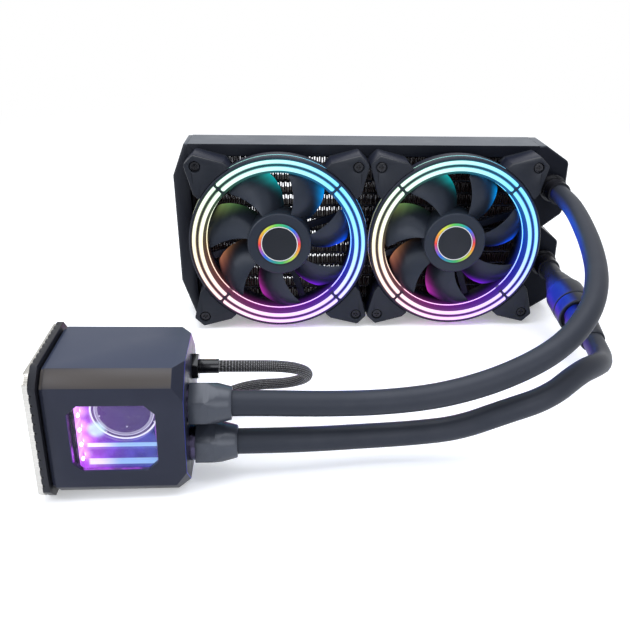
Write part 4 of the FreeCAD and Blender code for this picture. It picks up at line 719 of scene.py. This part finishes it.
bladeGlow = {
    "finish": dict(base=(0.017, 0.022, 0.033), worn=(0.027, 0.032, 0.044), roughness=0.36,
                   depth=0.012, gloss=0.25),
    "leanReach": (22, 46),
    "lean": (0.74, 0.40),      # clockwise lean at which the glow begins, at the hub and at the tip
    "soft": 0.40,
    "edge": 1.7,               # how sharply the glow gathers towards the edge
    "reach": (24, 48, 0.12, 1.0),
    "tips": 1.6,               # how sharply it gathers towards the tips
    "hub": (21.6, 22.4),
    "strength": 2.5,
}


def makeBladePlastic(side):
    # satin blades with the ring's light painted on them as a glow where they turn away clockwise
    material = moulded("bladePlastic" + side.capitalize(), **bladeGlow["finish"])
    tree, shader = insideOf(material)
    ring = useRing(tree, side)
    radius = ring["Radius"]
    start = ease(radius, *bladeGlow["leanReach"], *bladeGlow["lean"])
    lean = ease(maths("SUBTRACT", ring["Lean"], start), 0.0, bladeGlow["soft"])
    reach = ease(radius, *bladeGlow["reach"])
    amount = product(maths("POWER", lean, bladeGlow["edge"]),
                     maths("POWER", reach, bladeGlow["tips"]),
                     ease(radius, *bladeGlow["hub"]), bladeGlow["strength"])
    shine(shader, scaled(ring["Glow"], amount))
    return material


hubPrint = {
    "finish": dict(base=(0.014, 0.016, 0.020), worn=(0.022, 0.024, 0.030), roughness=0.34),
    "band": (13.3, 0.8, 0.15),       # middle radius, half width and softness
    "circle": (12.0, 0.18, 0.15),
    "white": (0.75, 0.75, 0.76),
    "rainbow": {0.0: (0.75, 0.06, 0.04), 0.06: (0.25, 0.10, 0.45), 0.12: (0.03, 0.15, 0.72),
                0.19: (0.03, 0.40, 0.25), 0.27: (0.10, 0.55, 0.10), 0.36: (0.65, 0.65, 0.06),
                0.44: (0.80, 0.28, 0.05), 0.50: (0.75, 0.06, 0.04), 0.56: (0.30, 0.10, 0.45),
                0.62: (0.03, 0.12, 0.65), 0.69: (0.04, 0.28, 0.30), 0.77: (0.05, 0.42, 0.12),
                0.86: (0.45, 0.62, 0.08), 0.94: (0.80, 0.30, 0.05), 1.0: (0.75, 0.06, 0.04)},
}


def makeHubFilm(side):
    # printed label: a plain rainbow circle with a thin white one inside it
    material = moulded("hubFilm" + side.capitalize(), **hubPrint["finish"])
    tree, shader = insideOf(material)
    away = vectors("SUBTRACT", ownPlace(tree), ringCentre(side))
    x, _, z = split(scaled(away, 1 / mm))
    radius = hypotenuse(x, z)
    repaint(shader, peak(radius, *hubPrint["band"]),
            ramp(turnShare(x, z), hubPrint["rainbow"]))
    repaint(shader, peak(radius, *hubPrint["circle"]), hubPrint["white"])
    return material


def farFrom(spot, middleAcross, middleAlong):
    # millimetres on the window's side of the block
    return hypotenuse(maths("SUBTRACT", spot["Across"], middleAcross),
                      maths("SUBTRACT", spot["Along"], middleAlong))


tankLight = {
    "along": (20.0, 60.0),       # from the lamps at the cold plate's end to the far end
    "body": {0.0: (0.55, 0.10, 1.0), 0.22: (0.22, 0.06, 0.72), 0.55: (0.09, 0.06, 0.50),
             1.0: (0.04, 0.06, 0.30)},
    "cloud": (140, 4),           # noise scale and detail
    "patches": (0.35, 0.65),
    "patchShade": 0.55,
    "column": (18.3, 19.8, 0.45, 1.0),      # before this the tank's end lies in half shade
    "bars": ((6.0, 0.9, 1.0), (15.2, 1.5, 0.9)),     # painted highlights on the shelves; across: middle, half width, brightness
    "barStart": (22.5, 24.0),
    "barTurns": (0.0, 0.45),
    "barColours": ((1.0, 0.85, 1.0), (0.30, 0.50, 0.85)),
    "cover": (-12.4, 41.0),      # across and along: middle of the pump's round cover
    "coverEdge": (14.6, 15.0, 1.0, 0.0),
    "coverShare": 0.92,
    "coverFace": (0.060, 0.036, 0.13),
    "bubbles": (420, 0.12, 0.24, 0.7, 0.84),
    "rims": ((14.9, 0.30, 1.0), (13.1, 0.14, 0.65), (12.2, 0.35, 0.35)),   # painted highlights on the cover's rims; radius, half, bright
    "rimColour": (0.80, 0.78, 1.0),
    "soft": (0.35, 0.22),        # of the bars and of the rims
    "glint": (-2.6, 28.0),
    "glintReach": (2.0, 5.2, 1.0, 0.0),
    "glintPatch": (0.4, 0.6),
    "glintColour": (0.62, 0.92, 1.0),
    "lamps": (-12.7, -4.5, 3.5, 11.0),      # across, as they show through the front wall
    "lampAlong": 20.8,
    "halos": ((0.3, 1.8, 1.2, 0.0), (0.6, 5.5, 0.55, 0.0)),
    "lampColour": (1.0, 0.62, 1.0),
    "unlit": 0.75,
    "strength": 1.15,
    "front": (-25.3, -24.8, 0.10, 0.96),     # through: the clear front wall lies before this
    "roughness": (0.05, 0.06),
    "gloss": 0.3,
}


def makeTank():
    # clear tank, its inside painted as lit from its left end: painted highlights on the shelves and
    # on the pump's round cover, a painted glint, and the lamps' painted glow
    material, tree, shader = newMaterial("tankClear")
    spot = useGroup(tree, blockGroup)
    barSoft, rimSoft = tankLight["soft"]
    along = ease(spot["Along"], *tankLight["along"])
    cloud = noise(tree, *tankLight["cloud"])
    patchy = ease(cloud, *tankLight["patches"])
    colour = ramp(along, tankLight["body"])
    colour = mixColour(patchy, scaled(colour, tankLight["patchShade"]), colour)
    colour = scaled(colour, ease(spot["Along"], *tankLight["column"]))
    barColour = mixColour(ease(along, *tankLight["barTurns"]),
                          *tankLight["barColours"])
    started = ease(spot["Along"], *tankLight["barStart"])
    for middle, half, bright in tankLight["bars"]:
        bar = product(peak(spot["Across"], middle, half, barSoft), bright, started)
        colour = mixColour(bar, colour, barColour)
    fromCover = farFrom(spot, *tankLight["cover"])
    face = mixColour(bubbles(tree, *tankLight["bubbles"]), tankLight["coverFace"],
                     tankLight["rimColour"])
    inside = ease(fromCover, *tankLight["coverEdge"])
    colour = mixColour(product(inside, tankLight["coverShare"]), colour, face)
    for radius, half, bright in tankLight["rims"]:
        rim = product(peak(fromCover, radius, half, rimSoft), bright)
        colour = mixColour(rim, colour, tankLight["rimColour"])
    glint = product(
        ease(farFrom(spot, *tankLight["glint"]), *tankLight["glintReach"]),
        maths("MULTIPLY_ADD", patchy, *tankLight["glintPatch"]))
    colour = mixColour(glint, colour, tankLight["glintColour"])
    for lamp in tankLight["lamps"]:
        away = farFrom(spot, lamp, tankLight["lampAlong"])
        halo = maths("ADD", *(ease(away, *reach) for reach in tankLight["halos"]))
        colour = vectors("ADD", colour, scaled(tankLight["lampColour"], halo))
    shine(shader, colour, tankLight["strength"])
    fill(shader, {
        "Base Color": mixColour(tankLight["unlit"], colour, (0, 0, 0)),
        "Alpha": ease(spot["Deep"], *tankLight["front"]),
        "Roughness": maths("MULTIPLY_ADD", cloud, *tankLight["roughness"]),
        "Specular IOR Level": tankLight["gloss"]})
    return material


coverLight = {
    "middle": (-13.5, 43.5),     # across and along
    "rims": ((14.7, 0.3, 0.9), (12.4, 0.15, 0.8), (3.6, 0.2, 0.5)),   # painted highlights on the rims; radius, half, bright
    "soft": 0.25,
    "bubbles": (330, 0.10, 0.22, 0.8, 0.9),
    "rim": (0.62, 0.58, 1.0),
    "face": (0.07, 0.045, 0.20),
    # painted light: brighter near the lamps, fading towards the far end
    "fade": (28, 52, 1.6, 0.6),
    "strength": 0.9,
    "alpha": (0.1, 0.85),
    "roughness": 0.12,
}


def makeCover():
    # smoky clear pump cover, with painted highlights on its rims and a few bubbles, and painted
    # light fading along it
    material, tree, shader = newMaterial("coverClear")
    spot = useGroup(tree, blockGroup)
    radius = farFrom(spot, *coverLight["middle"])
    rims = [product(peak(radius, middle, half, coverLight["soft"]), bright)
            for middle, half, bright in coverLight["rims"]]
    amount = strongest(rims + [bubbles(tree, *coverLight["bubbles"])])
    colour = mixColour(amount, coverLight["face"], coverLight["rim"])
    shown = scaled(colour, ease(spot["Along"], *coverLight["fade"]))
    shine(shader, shown, coverLight["strength"])
    fill(shader, {
        "Base Color": colour, "Alpha": maths("MULTIPLY_ADD", amount, *coverLight["alpha"]),
        "Roughness": coverLight["roughness"]})
    return material


paneLight = {
    "sides": {"Across": (0.0, 17.5), "Along": (36.0, 19.25)},      # middle and half size
    "edgeBand": (0.9, 0.1),
    "edge": (0.55, 0.06, 1.0),
    "smear": 90,
    "patches": (0.40, 0.62, 0.15, 1.0),
    "colours": ((0.06, 0.05, 0.12), (0.09, 0.07, 0.17)),
    "alpha": (0.6, 0.07),
    "roughness": (0.05, 0.02),
}


def makePane():
    # clear window: gloss over the lit tank, with light caught in its edges
    material, tree, shader = newMaterial("windowClear")
    spot = useGroup(tree, blockGroup)
    outer, inner = paneLight["edgeBand"]
    edges = []
    for label, (middle, half) in paneLight["sides"].items():
        away = maths("ABSOLUTE", maths("SUBTRACT", spot[label], middle))
        edges.append(ease(away, half - outer, half - inner))
    smear = noise(tree, paneLight["smear"])
    patchy = product(strongest(edges), ease(smear, *paneLight["patches"]))
    shine(shader, scaled(paneLight["edge"], patchy))
    fill(shader, {
        "Base Color": mixColour(smear, *paneLight["colours"]),
        "Alpha": maths("MULTIPLY_ADD", patchy, *paneLight["alpha"]),
        "Roughness": maths("MULTIPLY_ADD", smear, *paneLight["roughness"])})
    return material


lampLook = {
    "grain": 900,
    "colours": ((1, 0.72, 1), (1, 0.92, 1)),
    "strength": 9,
}


def makeLamp():
    # the strip's own light chips
    material, tree, shader = newMaterial("stripLamp")
    colour = mixColour(noise(tree, lampLook["grain"]), *lampLook["colours"])
    shine(shader, colour, lampLook["strength"])
    fill(shader, {"Base Color": colour})
    return material


braidLook = {
    "along": 420,
    "around": 9,
    "flecks": (0.55, 0.80),
    "colours": ((0.007, 0.007, 0.010), (0.34, 0.34, 0.37)),
    "roughness": (0.62, 0.35),
    "bump": (0.8, 0.35),
}


def makeBraid():
    # woven sleeve: two sets of strands crossing, with pale flecks where they catch the light
    material, tree, shader = newMaterial("braidedSleeve")
    u, v, _ = split(ownPlace(tree, "UV"))
    along = product(u, braidLook["along"])
    around = product(v, braidLook["around"])
    waves = [maths("SINE", product(maths(way, along, around), 2 * math.pi))
             for way in ("ADD", "SUBTRACT")]
    flecks = ease(product(*waves), *braidLook["flecks"])
    fill(shader, {
        "Base Color": mixColour(flecks, *braidLook["colours"]),
        "Roughness": ease(flecks, 0.0, 1.0, *braidLook["roughness"])})
    addBump(shader, strongest(waves), *braidLook["bump"])
    return material


materials = {name: moulded(name, **values) for name, values in finishes.items()}
for name in ("couplingRubber", "hoseRubber"):
    addSpill(materials[name], **spillSizes[name])
made = [make() for make in (makeCasing, makePaint, makeNickel, makeTank, makeCover, makePane,
                            makeLamp, makeBraid)]
for side in ("left", "right"):
    made += [make(side) for make in (makeRingLight, makeLightLine, makeFanPlastic,
                                     makeBladePlastic, makeHubFilm)]
materials.update({material.name: material for material in made})
print("materials made:", len(materials))

finishNodes = {
    "tubePaint": ("radiator_tubes", "header_plates"),
    "corePaint": ("radiator_fins",),
    "radiatorPaint": ("tank_left", "tank_right", "side_frame_top", "side_frame_bottom"),
    "glossFitting": ("radiator_ports", "pump_cup", "cable_gland", "cable_sleeve"),
    "ringRubber": ("hose_cuffs", "mounting_ring", "base_seal"),
    "screwBlack": ("fan_screws",),
    "nickelPlate": ("cold_plate",),
    "turnedSteel": ("plate_screws", "impeller_shaft", "fan_shaft_left", "fan_shaft_right"),
    "basePlastic": ("pump_base", "pump_motor_housing", "impeller"),
    "casingPlastic": ("block_casing",),
    "windowClear": ("block_window",),
    "tankClear": ("reservoir",),
    "coverClear": ("pump_cover",),
    "darkBoard": ("block_light_strip", "fan_light_board_left", "fan_light_board_right"),
    "windings": ("pump_stator", "fan_stator_left", "fan_stator_right"),
    "darkChrome": ("hose_barbs",),
    "bootRubber": ("hose_boots",),
    "couplingRubber": ("coupling_socket", "coupling_plug", "coupling_collar", "hose_stub"),
    "plugNylon": ("pump_lead_plug",),
    "padRubber": ("fan_pads_left", "fan_pads_right"),
    "magnetBlack": ("fan_magnet_ring_left", "fan_magnet_ring_right"),
    "bronze": ("fan_bearing_left", "fan_bearing_right"),
}
for side in ("left", "right"):
    for finish, part in (("fanPlastic", "frame"), ("ringLight", "lights"),
                         ("bladePlastic", "rotor"), ("hubFilm", "hub_disc")):
        finishNodes[finish + side.capitalize()] = ("fan_%s_%s" % (part, side),)
for finish, names in finishNodes.items():
    for name in names:
        for slot in nodes[name].material_slots:
            slot.material = materials[finish]
for cord, finish, slot in ((hoseUpper, "hoseRubber", "hose_rubber"),
                           (hoseLower, "hoseRubber", "hose_rubber"),
                           (pumpLead, "braidedSleeve", "lead_sleeve")):
    cord.data.materials.append(materials[finish])

# moulded and folded edges, rounded over: millimetres
edgeRounds = {
    0.7: ("fan_pads_left", "fan_pads_right"),
    0.5: ("tank_left", "tank_right", "hose_boots"),
    0.35: ("block_casing", "side_frame_top", "side_frame_bottom"),
    0.3: ("fan_frame_left", "fan_frame_right", "cable_gland", "coupling_collar",
          "coupling_socket", "coupling_plug", "pump_lead_plug"),
    0.2: ("mounting_ring", "cold_plate", "cable_sleeve"),
    0.12: ("fan_screws",),
}
edgeSizes = {
    "crisp": 28,      # degrees over which an edge shades sharply, and over which it is rounded
    "rounded": 35,
    "weld": 0.00001,
    "segments": 2,
}


def makeNormalsTree():
    # smooth across gentle edges, crisp across sharp ones
    tree = bpy.data.node_groups.new("normalsByAngle", "GeometryNodeTree")
    for way in ("INPUT", "OUTPUT"):
        tree.interface.new_socket(name="Geometry", in_out=way, socket_type="NodeSocketGeometry")
    inside, outside = tree.nodes.new("NodeGroupInput"), tree.nodes.new("NodeGroupOutput")
    angle = addNode(tree, "GeometryNodeInputMeshEdgeAngle").outputs["Unsigned Angle"]
    sharp = addNode(tree, "FunctionNodeCompare", {0: angle, 1: math.radians(edgeSizes["crisp"])},
                    data_type="FLOAT", operation="GREATER_THAN")
    setter = addNode(tree, "GeometryNodeSetMeshNormal", {
        "Mesh": inside.outputs[0], "Remove Custom": True, "Edge Sharpness": sharp.outputs[0]},
        mode="SHARPNESS")
    tree.links.new(setter.outputs[0], outside.inputs[0])
    return tree


normalsTree = makeNormalsTree()


def roundEdges(node, width):
    weld = node.modifiers.new("weld", "WELD")
    weld.merge_threshold = edgeSizes["weld"]
    bevel = node.modifiers.new("edges", "BEVEL")
    bevel.width = width * mm
    bevel.segments = edgeSizes["segments"]
    bevel.limit_method = "ANGLE"
    bevel.angle_limit = math.radians(edgeSizes["rounded"])
    bevel.use_clamp_overlap = True
    node.modifiers.new("normals", "NODES").node_group = normalsTree


for width, names in edgeRounds.items():
    for name in names:
        roundEdges(nodes[name], width)
print("edges rounded:", sum(len(names) for names in edgeRounds.values()))


# pieces
def bridge(bm, loops, closed=True):
    # faces from each loop of corners to the next
    for here, there in zip(loops, loops[1:] + loops[:1] if closed else loops[1:]):
        for a, b, c, d in zip(here, here[1:] + here[:1], there[1:] + there[:1], there):
            bm.faces.new((a, b, c, d))


def addPiece(name, bm, material, body, smooth=True):
    bmesh.ops.recalc_face_normals(bm, faces=bm.faces)
    mesh = bpy.data.meshes.new(name)
    bm.to_mesh(mesh)
    bm.free()
    for face in mesh.polygons:
        face.use_smooth = smooth and len(face.vertices) < 5    # end caps stay flat
    piece = bpy.data.objects.new(name, mesh)
    scene.collection.objects.link(piece)
    mesh.materials.append(material)
    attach(piece, body)
    return piece


finSizes = {
    "fold": 1.7,        # from one upright wall to the next
    "slant": 0.30,      # how far each wall leans over its height
    "wall": 0.62,       # an upright wall, with the louvres that stand out from it
    "sheet": 0.25,
    "rows": 14,
    "tubeThick": 1.8,
    "jitter": 0.16,
    "seed": 11,
}


def addPrism(bm, outline, front, back):
    # a bar with this outline in X and Z, from front to back
    near = [bm.verts.new((x, front, z)) for x, z in outline]
    far = [bm.verts.new((x, back, z)) for x, z in outline]
    bm.faces.new(near)
    bm.faces.new(far[::-1])
    for a, b, c, d in zip(near, near[1:] + near[:1], far[1:] + far[:1], far):
        bm.faces.new((b, a, d, c))


def makeFins():
    # folded fin strips between the flat tubes, open from front to back
    low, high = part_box("radiator_fins")
    dice = random.Random(finSizes["seed"])
    rows = finSizes["rows"]
    thick = finSizes["tubeThick"] * mm
    gap = (high.z - low.z - (rows - 1) * thick) / rows
    count = int((high.x - low.x) / (finSizes["fold"] * mm))
    fold = (high.x - low.x) / count
    half = finSizes["wall"] * mm / 2
    sheet = finSizes["sheet"] * mm
    slant = finSizes["slant"] * mm / 2
    bm = bmesh.new()
    for row in range(rows):
        bottom = low.z + row * (gap + thick)
        top = bottom + gap
        last = None
        for step in range(count + 1):
            middle = low.x + step * fold + dice.uniform(-1, 1) * finSizes["jitter"] * mm
            middle = min(max(middle, low.x + half + slant), high.x - half - slant)
            lean = slant if step % 2 else -slant
            addPrism(bm, [(middle - lean - half, bottom), (middle - lean + half, bottom),
                          (middle + lean + half, top), (middle + lean - half, top)],
                     low.y, high.y)
            if last is not None:
                floor = bottom if step % 2 else top - sheet
                addPrism(bm, [(last, floor), (middle, floor), (middle, floor + sheet),
                              (last, floor + sheet)], low.y, high.y)
            last = middle
    piece = addPiece("finStrips", bm, materials["corePaint"], "cooler", False)
    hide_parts("radiator_fins")


rotorSizes = {
    "seat": -15.0,          # Y of the plane the fan stands on; heights run towards the front
    "middle": 13.0,
    "count": 7,
    "phase": 6.8,
    # radius, width seen from the front, pitch, camber and turn of the blade's middle line
    "sections": ((19.8, 13.5, 52.0, 1.2, -9.5), (26.0, 17.0, 44.0, 1.8, -7.5),
                 (31.0, 20.0, 38.0, 2.2, -5.0), (36.0, 22.8, 34.0, 2.5, -1.8),
                 (41.0, 25.2, 31.0, 2.5, 2.0), (45.0, 26.6, 28.5, 2.3, 5.6),
                 (48.0, 27.2, 27.0, 2.1, 8.5)),
    "thick": 1.9,
    "blunt": 0.7,           # thickness that stays close to the blade's edges
    "corner": 3.2,          # rounded tip corners
    "steps": 26,
    "crowding": 0.8,        # draws the rows of points together towards the tip
    "chordSteps": 20,
    "hub": ((0.1, 21.0), (19.9, 21.0), (19.9, 4.2), (21.5, 4.2), (21.5, 22.2), (21.2, 23.0),
            (20.5, 23.5), (15.4, 23.5), (15.4, 23.1), (0.1, 23.1)),
    "hubSteps": 96,
    "join": 0.00001,
}


def between(sections, radius):
    for low, high in zip(sections, sections[1:]):
        if radius <= high[0]:
            share = (radius - low[0]) / (high[0] - low[0])
            return [a + (b - a) * share for a, b in zip(low, high)]
    return list(sections[-1])


def bladeGrid(top):
    # rows of points over one face of a blade: radius, sideways and height
    sections = rotorSizes["sections"]
    first, last = sections[0][0], sections[-1][0]
    corner, blunt = rotorSizes["corner"], rotorSizes["blunt"]
    rows = []
    for step in range(rotorSizes["steps"] + 1):
        share = (step / rotorSizes["steps"]) ** rotorSizes["crowding"]
        radius, width, pitch, camber, turn = between(sections, first + (last - first) * share)
        over = max(0.0, (radius - (last - corner)) / corner)
        cut = corner * (1 - math.sqrt(max(0.0, 1 - over * over)))
        pitch = math.radians(pitch)
        half = (width / 2 - cut) / math.cos(pitch)
        row = []
        for place in range(rotorSizes["chordSteps"] + 1):
            share = -math.cos(math.pi * place / rotorSizes["chordSteps"])
            swell = 1 - share * share
            thick = blunt * math.sqrt(swell) + (rotorSizes["thick"] - blunt) * swell
            rise = camber * swell + (thick / 2 if top else -thick / 2)
            side = share * half * math.cos(pitch) - rise * math.sin(pitch)
            height = (rotorSizes["middle"] + share * half * math.sin(pitch)
                      + rise * math.cos(pitch))
            row.append((radius, math.radians(turn) + side / radius, height))
        rows.append(row)
    return rows


def makeRotor(side):
    # wide swept blades round a cup, which stand for the CAD rotor
    bm = bmesh.new()
    middle = point(ringSizes[side], rotorSizes["seat"], ringSizes["height"])

    def corner(radius, angle, height):
        offset = Vector((radius * math.cos(angle), -height, radius * math.sin(angle)))
        return bm.verts.new(middle + offset * mm)

    grids = [bladeGrid(True), bladeGrid(False)]
    for blade in range(rotorSizes["count"]):
        start = math.radians(rotorSizes["phase"] + 360 * blade / rotorSizes["count"])
        skins = [[[corner(radius, start + angle, height) for radius, angle, height in row]
                  for row in grid] for grid in grids]
        for skin in skins:
            for here, there in zip(skin, skin[1:]):
                for corners in zip(here, here[1:], there[1:], there):
                    bm.faces.new(corners)
        bridge(bm, [skin[0] + [row[-1] for row in skin[1:-1]] + skin[-1][::-1]
                    + [row[0] for row in skin[-2:0:-1]] for skin in skins], closed=False)
    turns = [2 * math.pi * step / rotorSizes["hubSteps"] for step in range(rotorSizes["hubSteps"])]
    bridge(bm, [[corner(radius, angle, height) for radius, height in rotorSizes["hub"]]
                for angle in turns])
    bmesh.ops.remove_doubles(bm, verts=bm.verts, dist=rotorSizes["join"])
    piece = addPiece("rotor" + side.capitalize(), bm, materials["bladePlastic" + side.capitalize()],
                     "fan_%s_rotor" % side)
    piece.modifiers.new("normals", "NODES").node_group = normalsTree
    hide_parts("fan_rotor_" + side)


lineSizes = {
    "inner": (48.7, 0.36, -33.5),     # radius, half width and Y of the line inside the duct
    "outer": (59.62, 0.22, -35.0),    # and of the one round the outside
    "steps": 160,
    "sides": 10,
}


def makeLines(side):
    # the light guide's edges, as thin lit rings
    for label in ("inner", "outer"):
        radius, half, y = lineSizes[label]
        centre = point(ringSizes[side], y, ringSizes["height"])
        bm = bmesh.new()
        loops = []
        for step in range(lineSizes["steps"]):
            turn = 2 * math.pi * step / lineSizes["steps"]
            way = Vector((math.cos(turn), 0, math.sin(turn)))
            angles = [2 * math.pi * corner / lineSizes["sides"]
                      for corner in range(lineSizes["sides"])]
            loops.append([bm.verts.new(centre + way * radius * mm + half * mm * (
                way * math.cos(angle) + Vector((0, math.sin(angle), 0)))) for angle in angles])
        bridge(bm, loops)
        addPiece(label + "Line" + side.capitalize(), bm,
                 materials["lightLine" + side.capitalize()], "cooler")


chipSizes = {
    "count": 5,
    "pitch": 8.0,
    "radius": 1.15,
    "deep": -20.0,       # through the block, at the strip's middle line
    "along": 19.0,       # on top of each chip's body
    "rings": 5,
    "steps": 20,
}


def makeChips():
    # a clear dome on each light chip of the strip
    bm = bmesh.new()
    radius, deep, along = chipSizes["radius"], chipSizes["deep"], chipSizes["along"]
    for index in range(chipSizes["count"]):
        across = chipSizes["pitch"] * (index - (chipSizes["count"] - 1) / 2)
        rows = []
        for ring in range(chipSizes["rings"]):
            rise = math.pi / 2 * ring / chipSizes["rings"]
            flat = radius * math.cos(rise)
            turns = [2 * math.pi * step / chipSizes["steps"] for step in range(chipSizes["steps"])]
            rows.append([bm.verts.new(mm * onBlock(
                across + flat * math.cos(turn), deep + flat * math.sin(turn),
                along + radius * math.sin(rise))) for turn in turns])
        crown = bm.verts.new(onBlock(across, deep, along + radius) * mm)
        bm.faces.new(rows[0][::-1])
        bridge(bm, rows, closed=False)
        for a, b in zip(rows[-1], rows[-1][1:] + rows[-1][:1]):
            bm.faces.new((a, b, crown))
    addPiece("lightChips", bm, materials["stripLamp"], "cooler")


makeFins()
for side in ("left", "right"):
    makeRotor(side)
    makeLines(side)
makeChips()
print("pieces made")


# the stage
def seen(tree):
    # one for rays that show a thing, nothing for those that only light it
    path = addNode(tree, "ShaderNodeLightPath").outputs
    return strongest([path["Is Camera Ray"], path["Is Glossy Ray"],
                            path["Is Transmission Ray"]])


floorSizes = {
    "reach": 6.0,
    "drop": 0.0002,
    "fade": (0.35, 0.95),       # the shaded floor turns to plain white between these distances
    "lift": 0.30,
    "finish": {"Base Color": (0.84, 0.86, 0.90), "Roughness": 0.45, "Specular IOR Level": 0.15},
}


def makeFloor():
    # pale floor that runs out to plain white behind the cooler
    reach = floorSizes["reach"]
    mesh = bpy.data.meshes.new("floor")
    mesh.from_pydata([(-reach, -reach, 0), (reach, -reach, 0), (reach, reach, 0),
                      (-reach, reach, 0)], [], [(0, 1, 2, 3)])
    floor = bpy.data.objects.new("floor", mesh)
    floor.location.z = -floorSizes["drop"]
    scene.collection.objects.link(floor)
    material, tree, shader = newMaterial("floorWhite")
    fill(shader, floorSizes["finish"])
    shown = seen(tree)
    lift = addNode(tree, "ShaderNodeEmission", {"Strength": product(shown,
                                                                    floorSizes["lift"])})
    both = addNode(tree, "ShaderNodeAddShader", {0: shader.outputs[0], 1: lift.outputs[0]})
    plain = addNode(tree, "ShaderNodeEmission", {"Strength": 1})
    away = addNode(tree, "ShaderNodeVectorMath", {0: ownPlace(tree)}, operation="LENGTH")
    fade = ease(away.outputs["Value"], *floorSizes["fade"])
    mix = addNode(tree, "ShaderNodeMixShader", {
        0: product(fade, shown), 1: both.outputs[0], 2: plain.outputs[0]})
    fill(tree.nodes["Material Output"], {"Surface": mix.outputs[0]})
    mesh.materials.append(material)


worldSizes = {
    "room": {"Color": (0.95, 0.97, 1), "Strength": 0.55},
    "white": {"Color": (1, 1, 1), "Strength": 1.0},
}


def makeWorld():
    # a soft room for the light, plain white where it is seen
    world = bpy.data.worlds.new("studio")
    scene.world = world
    world.use_nodes = True
    tree = world.node_tree
    tree.nodes.clear()
    room, white = (addNode(tree, "ShaderNodeBackground", worldSizes[label]).outputs[0]
                   for label in ("room", "white"))
    mix = addNode(tree, "ShaderNodeMixShader", {0: seen(tree), 1: room, 2: white})
    addNode(tree, "ShaderNodeOutputWorld", {"Surface": mix.outputs[0]})


lamps = {
    "overhead": dict(place=(0.0, -0.1, 0.95), aim=(0, -0.1, 0), size=0.9, power=9),
    "left": dict(place=(-0.9, -0.5, 0.6), aim=(-0.05, -0.1, 0.05), size=0.6, power=5),
    "front": dict(place=(0.25, -1.2, 0.5), aim=(0, 0, 0.05), size=0.6, power=4),
}


def makeLamps():
    for name, lamp in lamps.items():
        data = bpy.data.lights.new(name, "AREA")
        data.shape = "SQUARE"
        data.size = lamp["size"]
        data.energy = lamp["power"]
        light = bpy.data.objects.new(name, data)
        light.location = lamp["place"]
        way = Vector(lamp["aim"]) - Vector(lamp["place"])
        light.rotation_euler = way.to_track_quat("-Z", "Y").to_euler()
        scene.collection.objects.link(light)


makeFloor()
makeWorld()
makeLamps()
scene.view_settings.view_transform = "Standard"

bpy.context.view_layer.update()
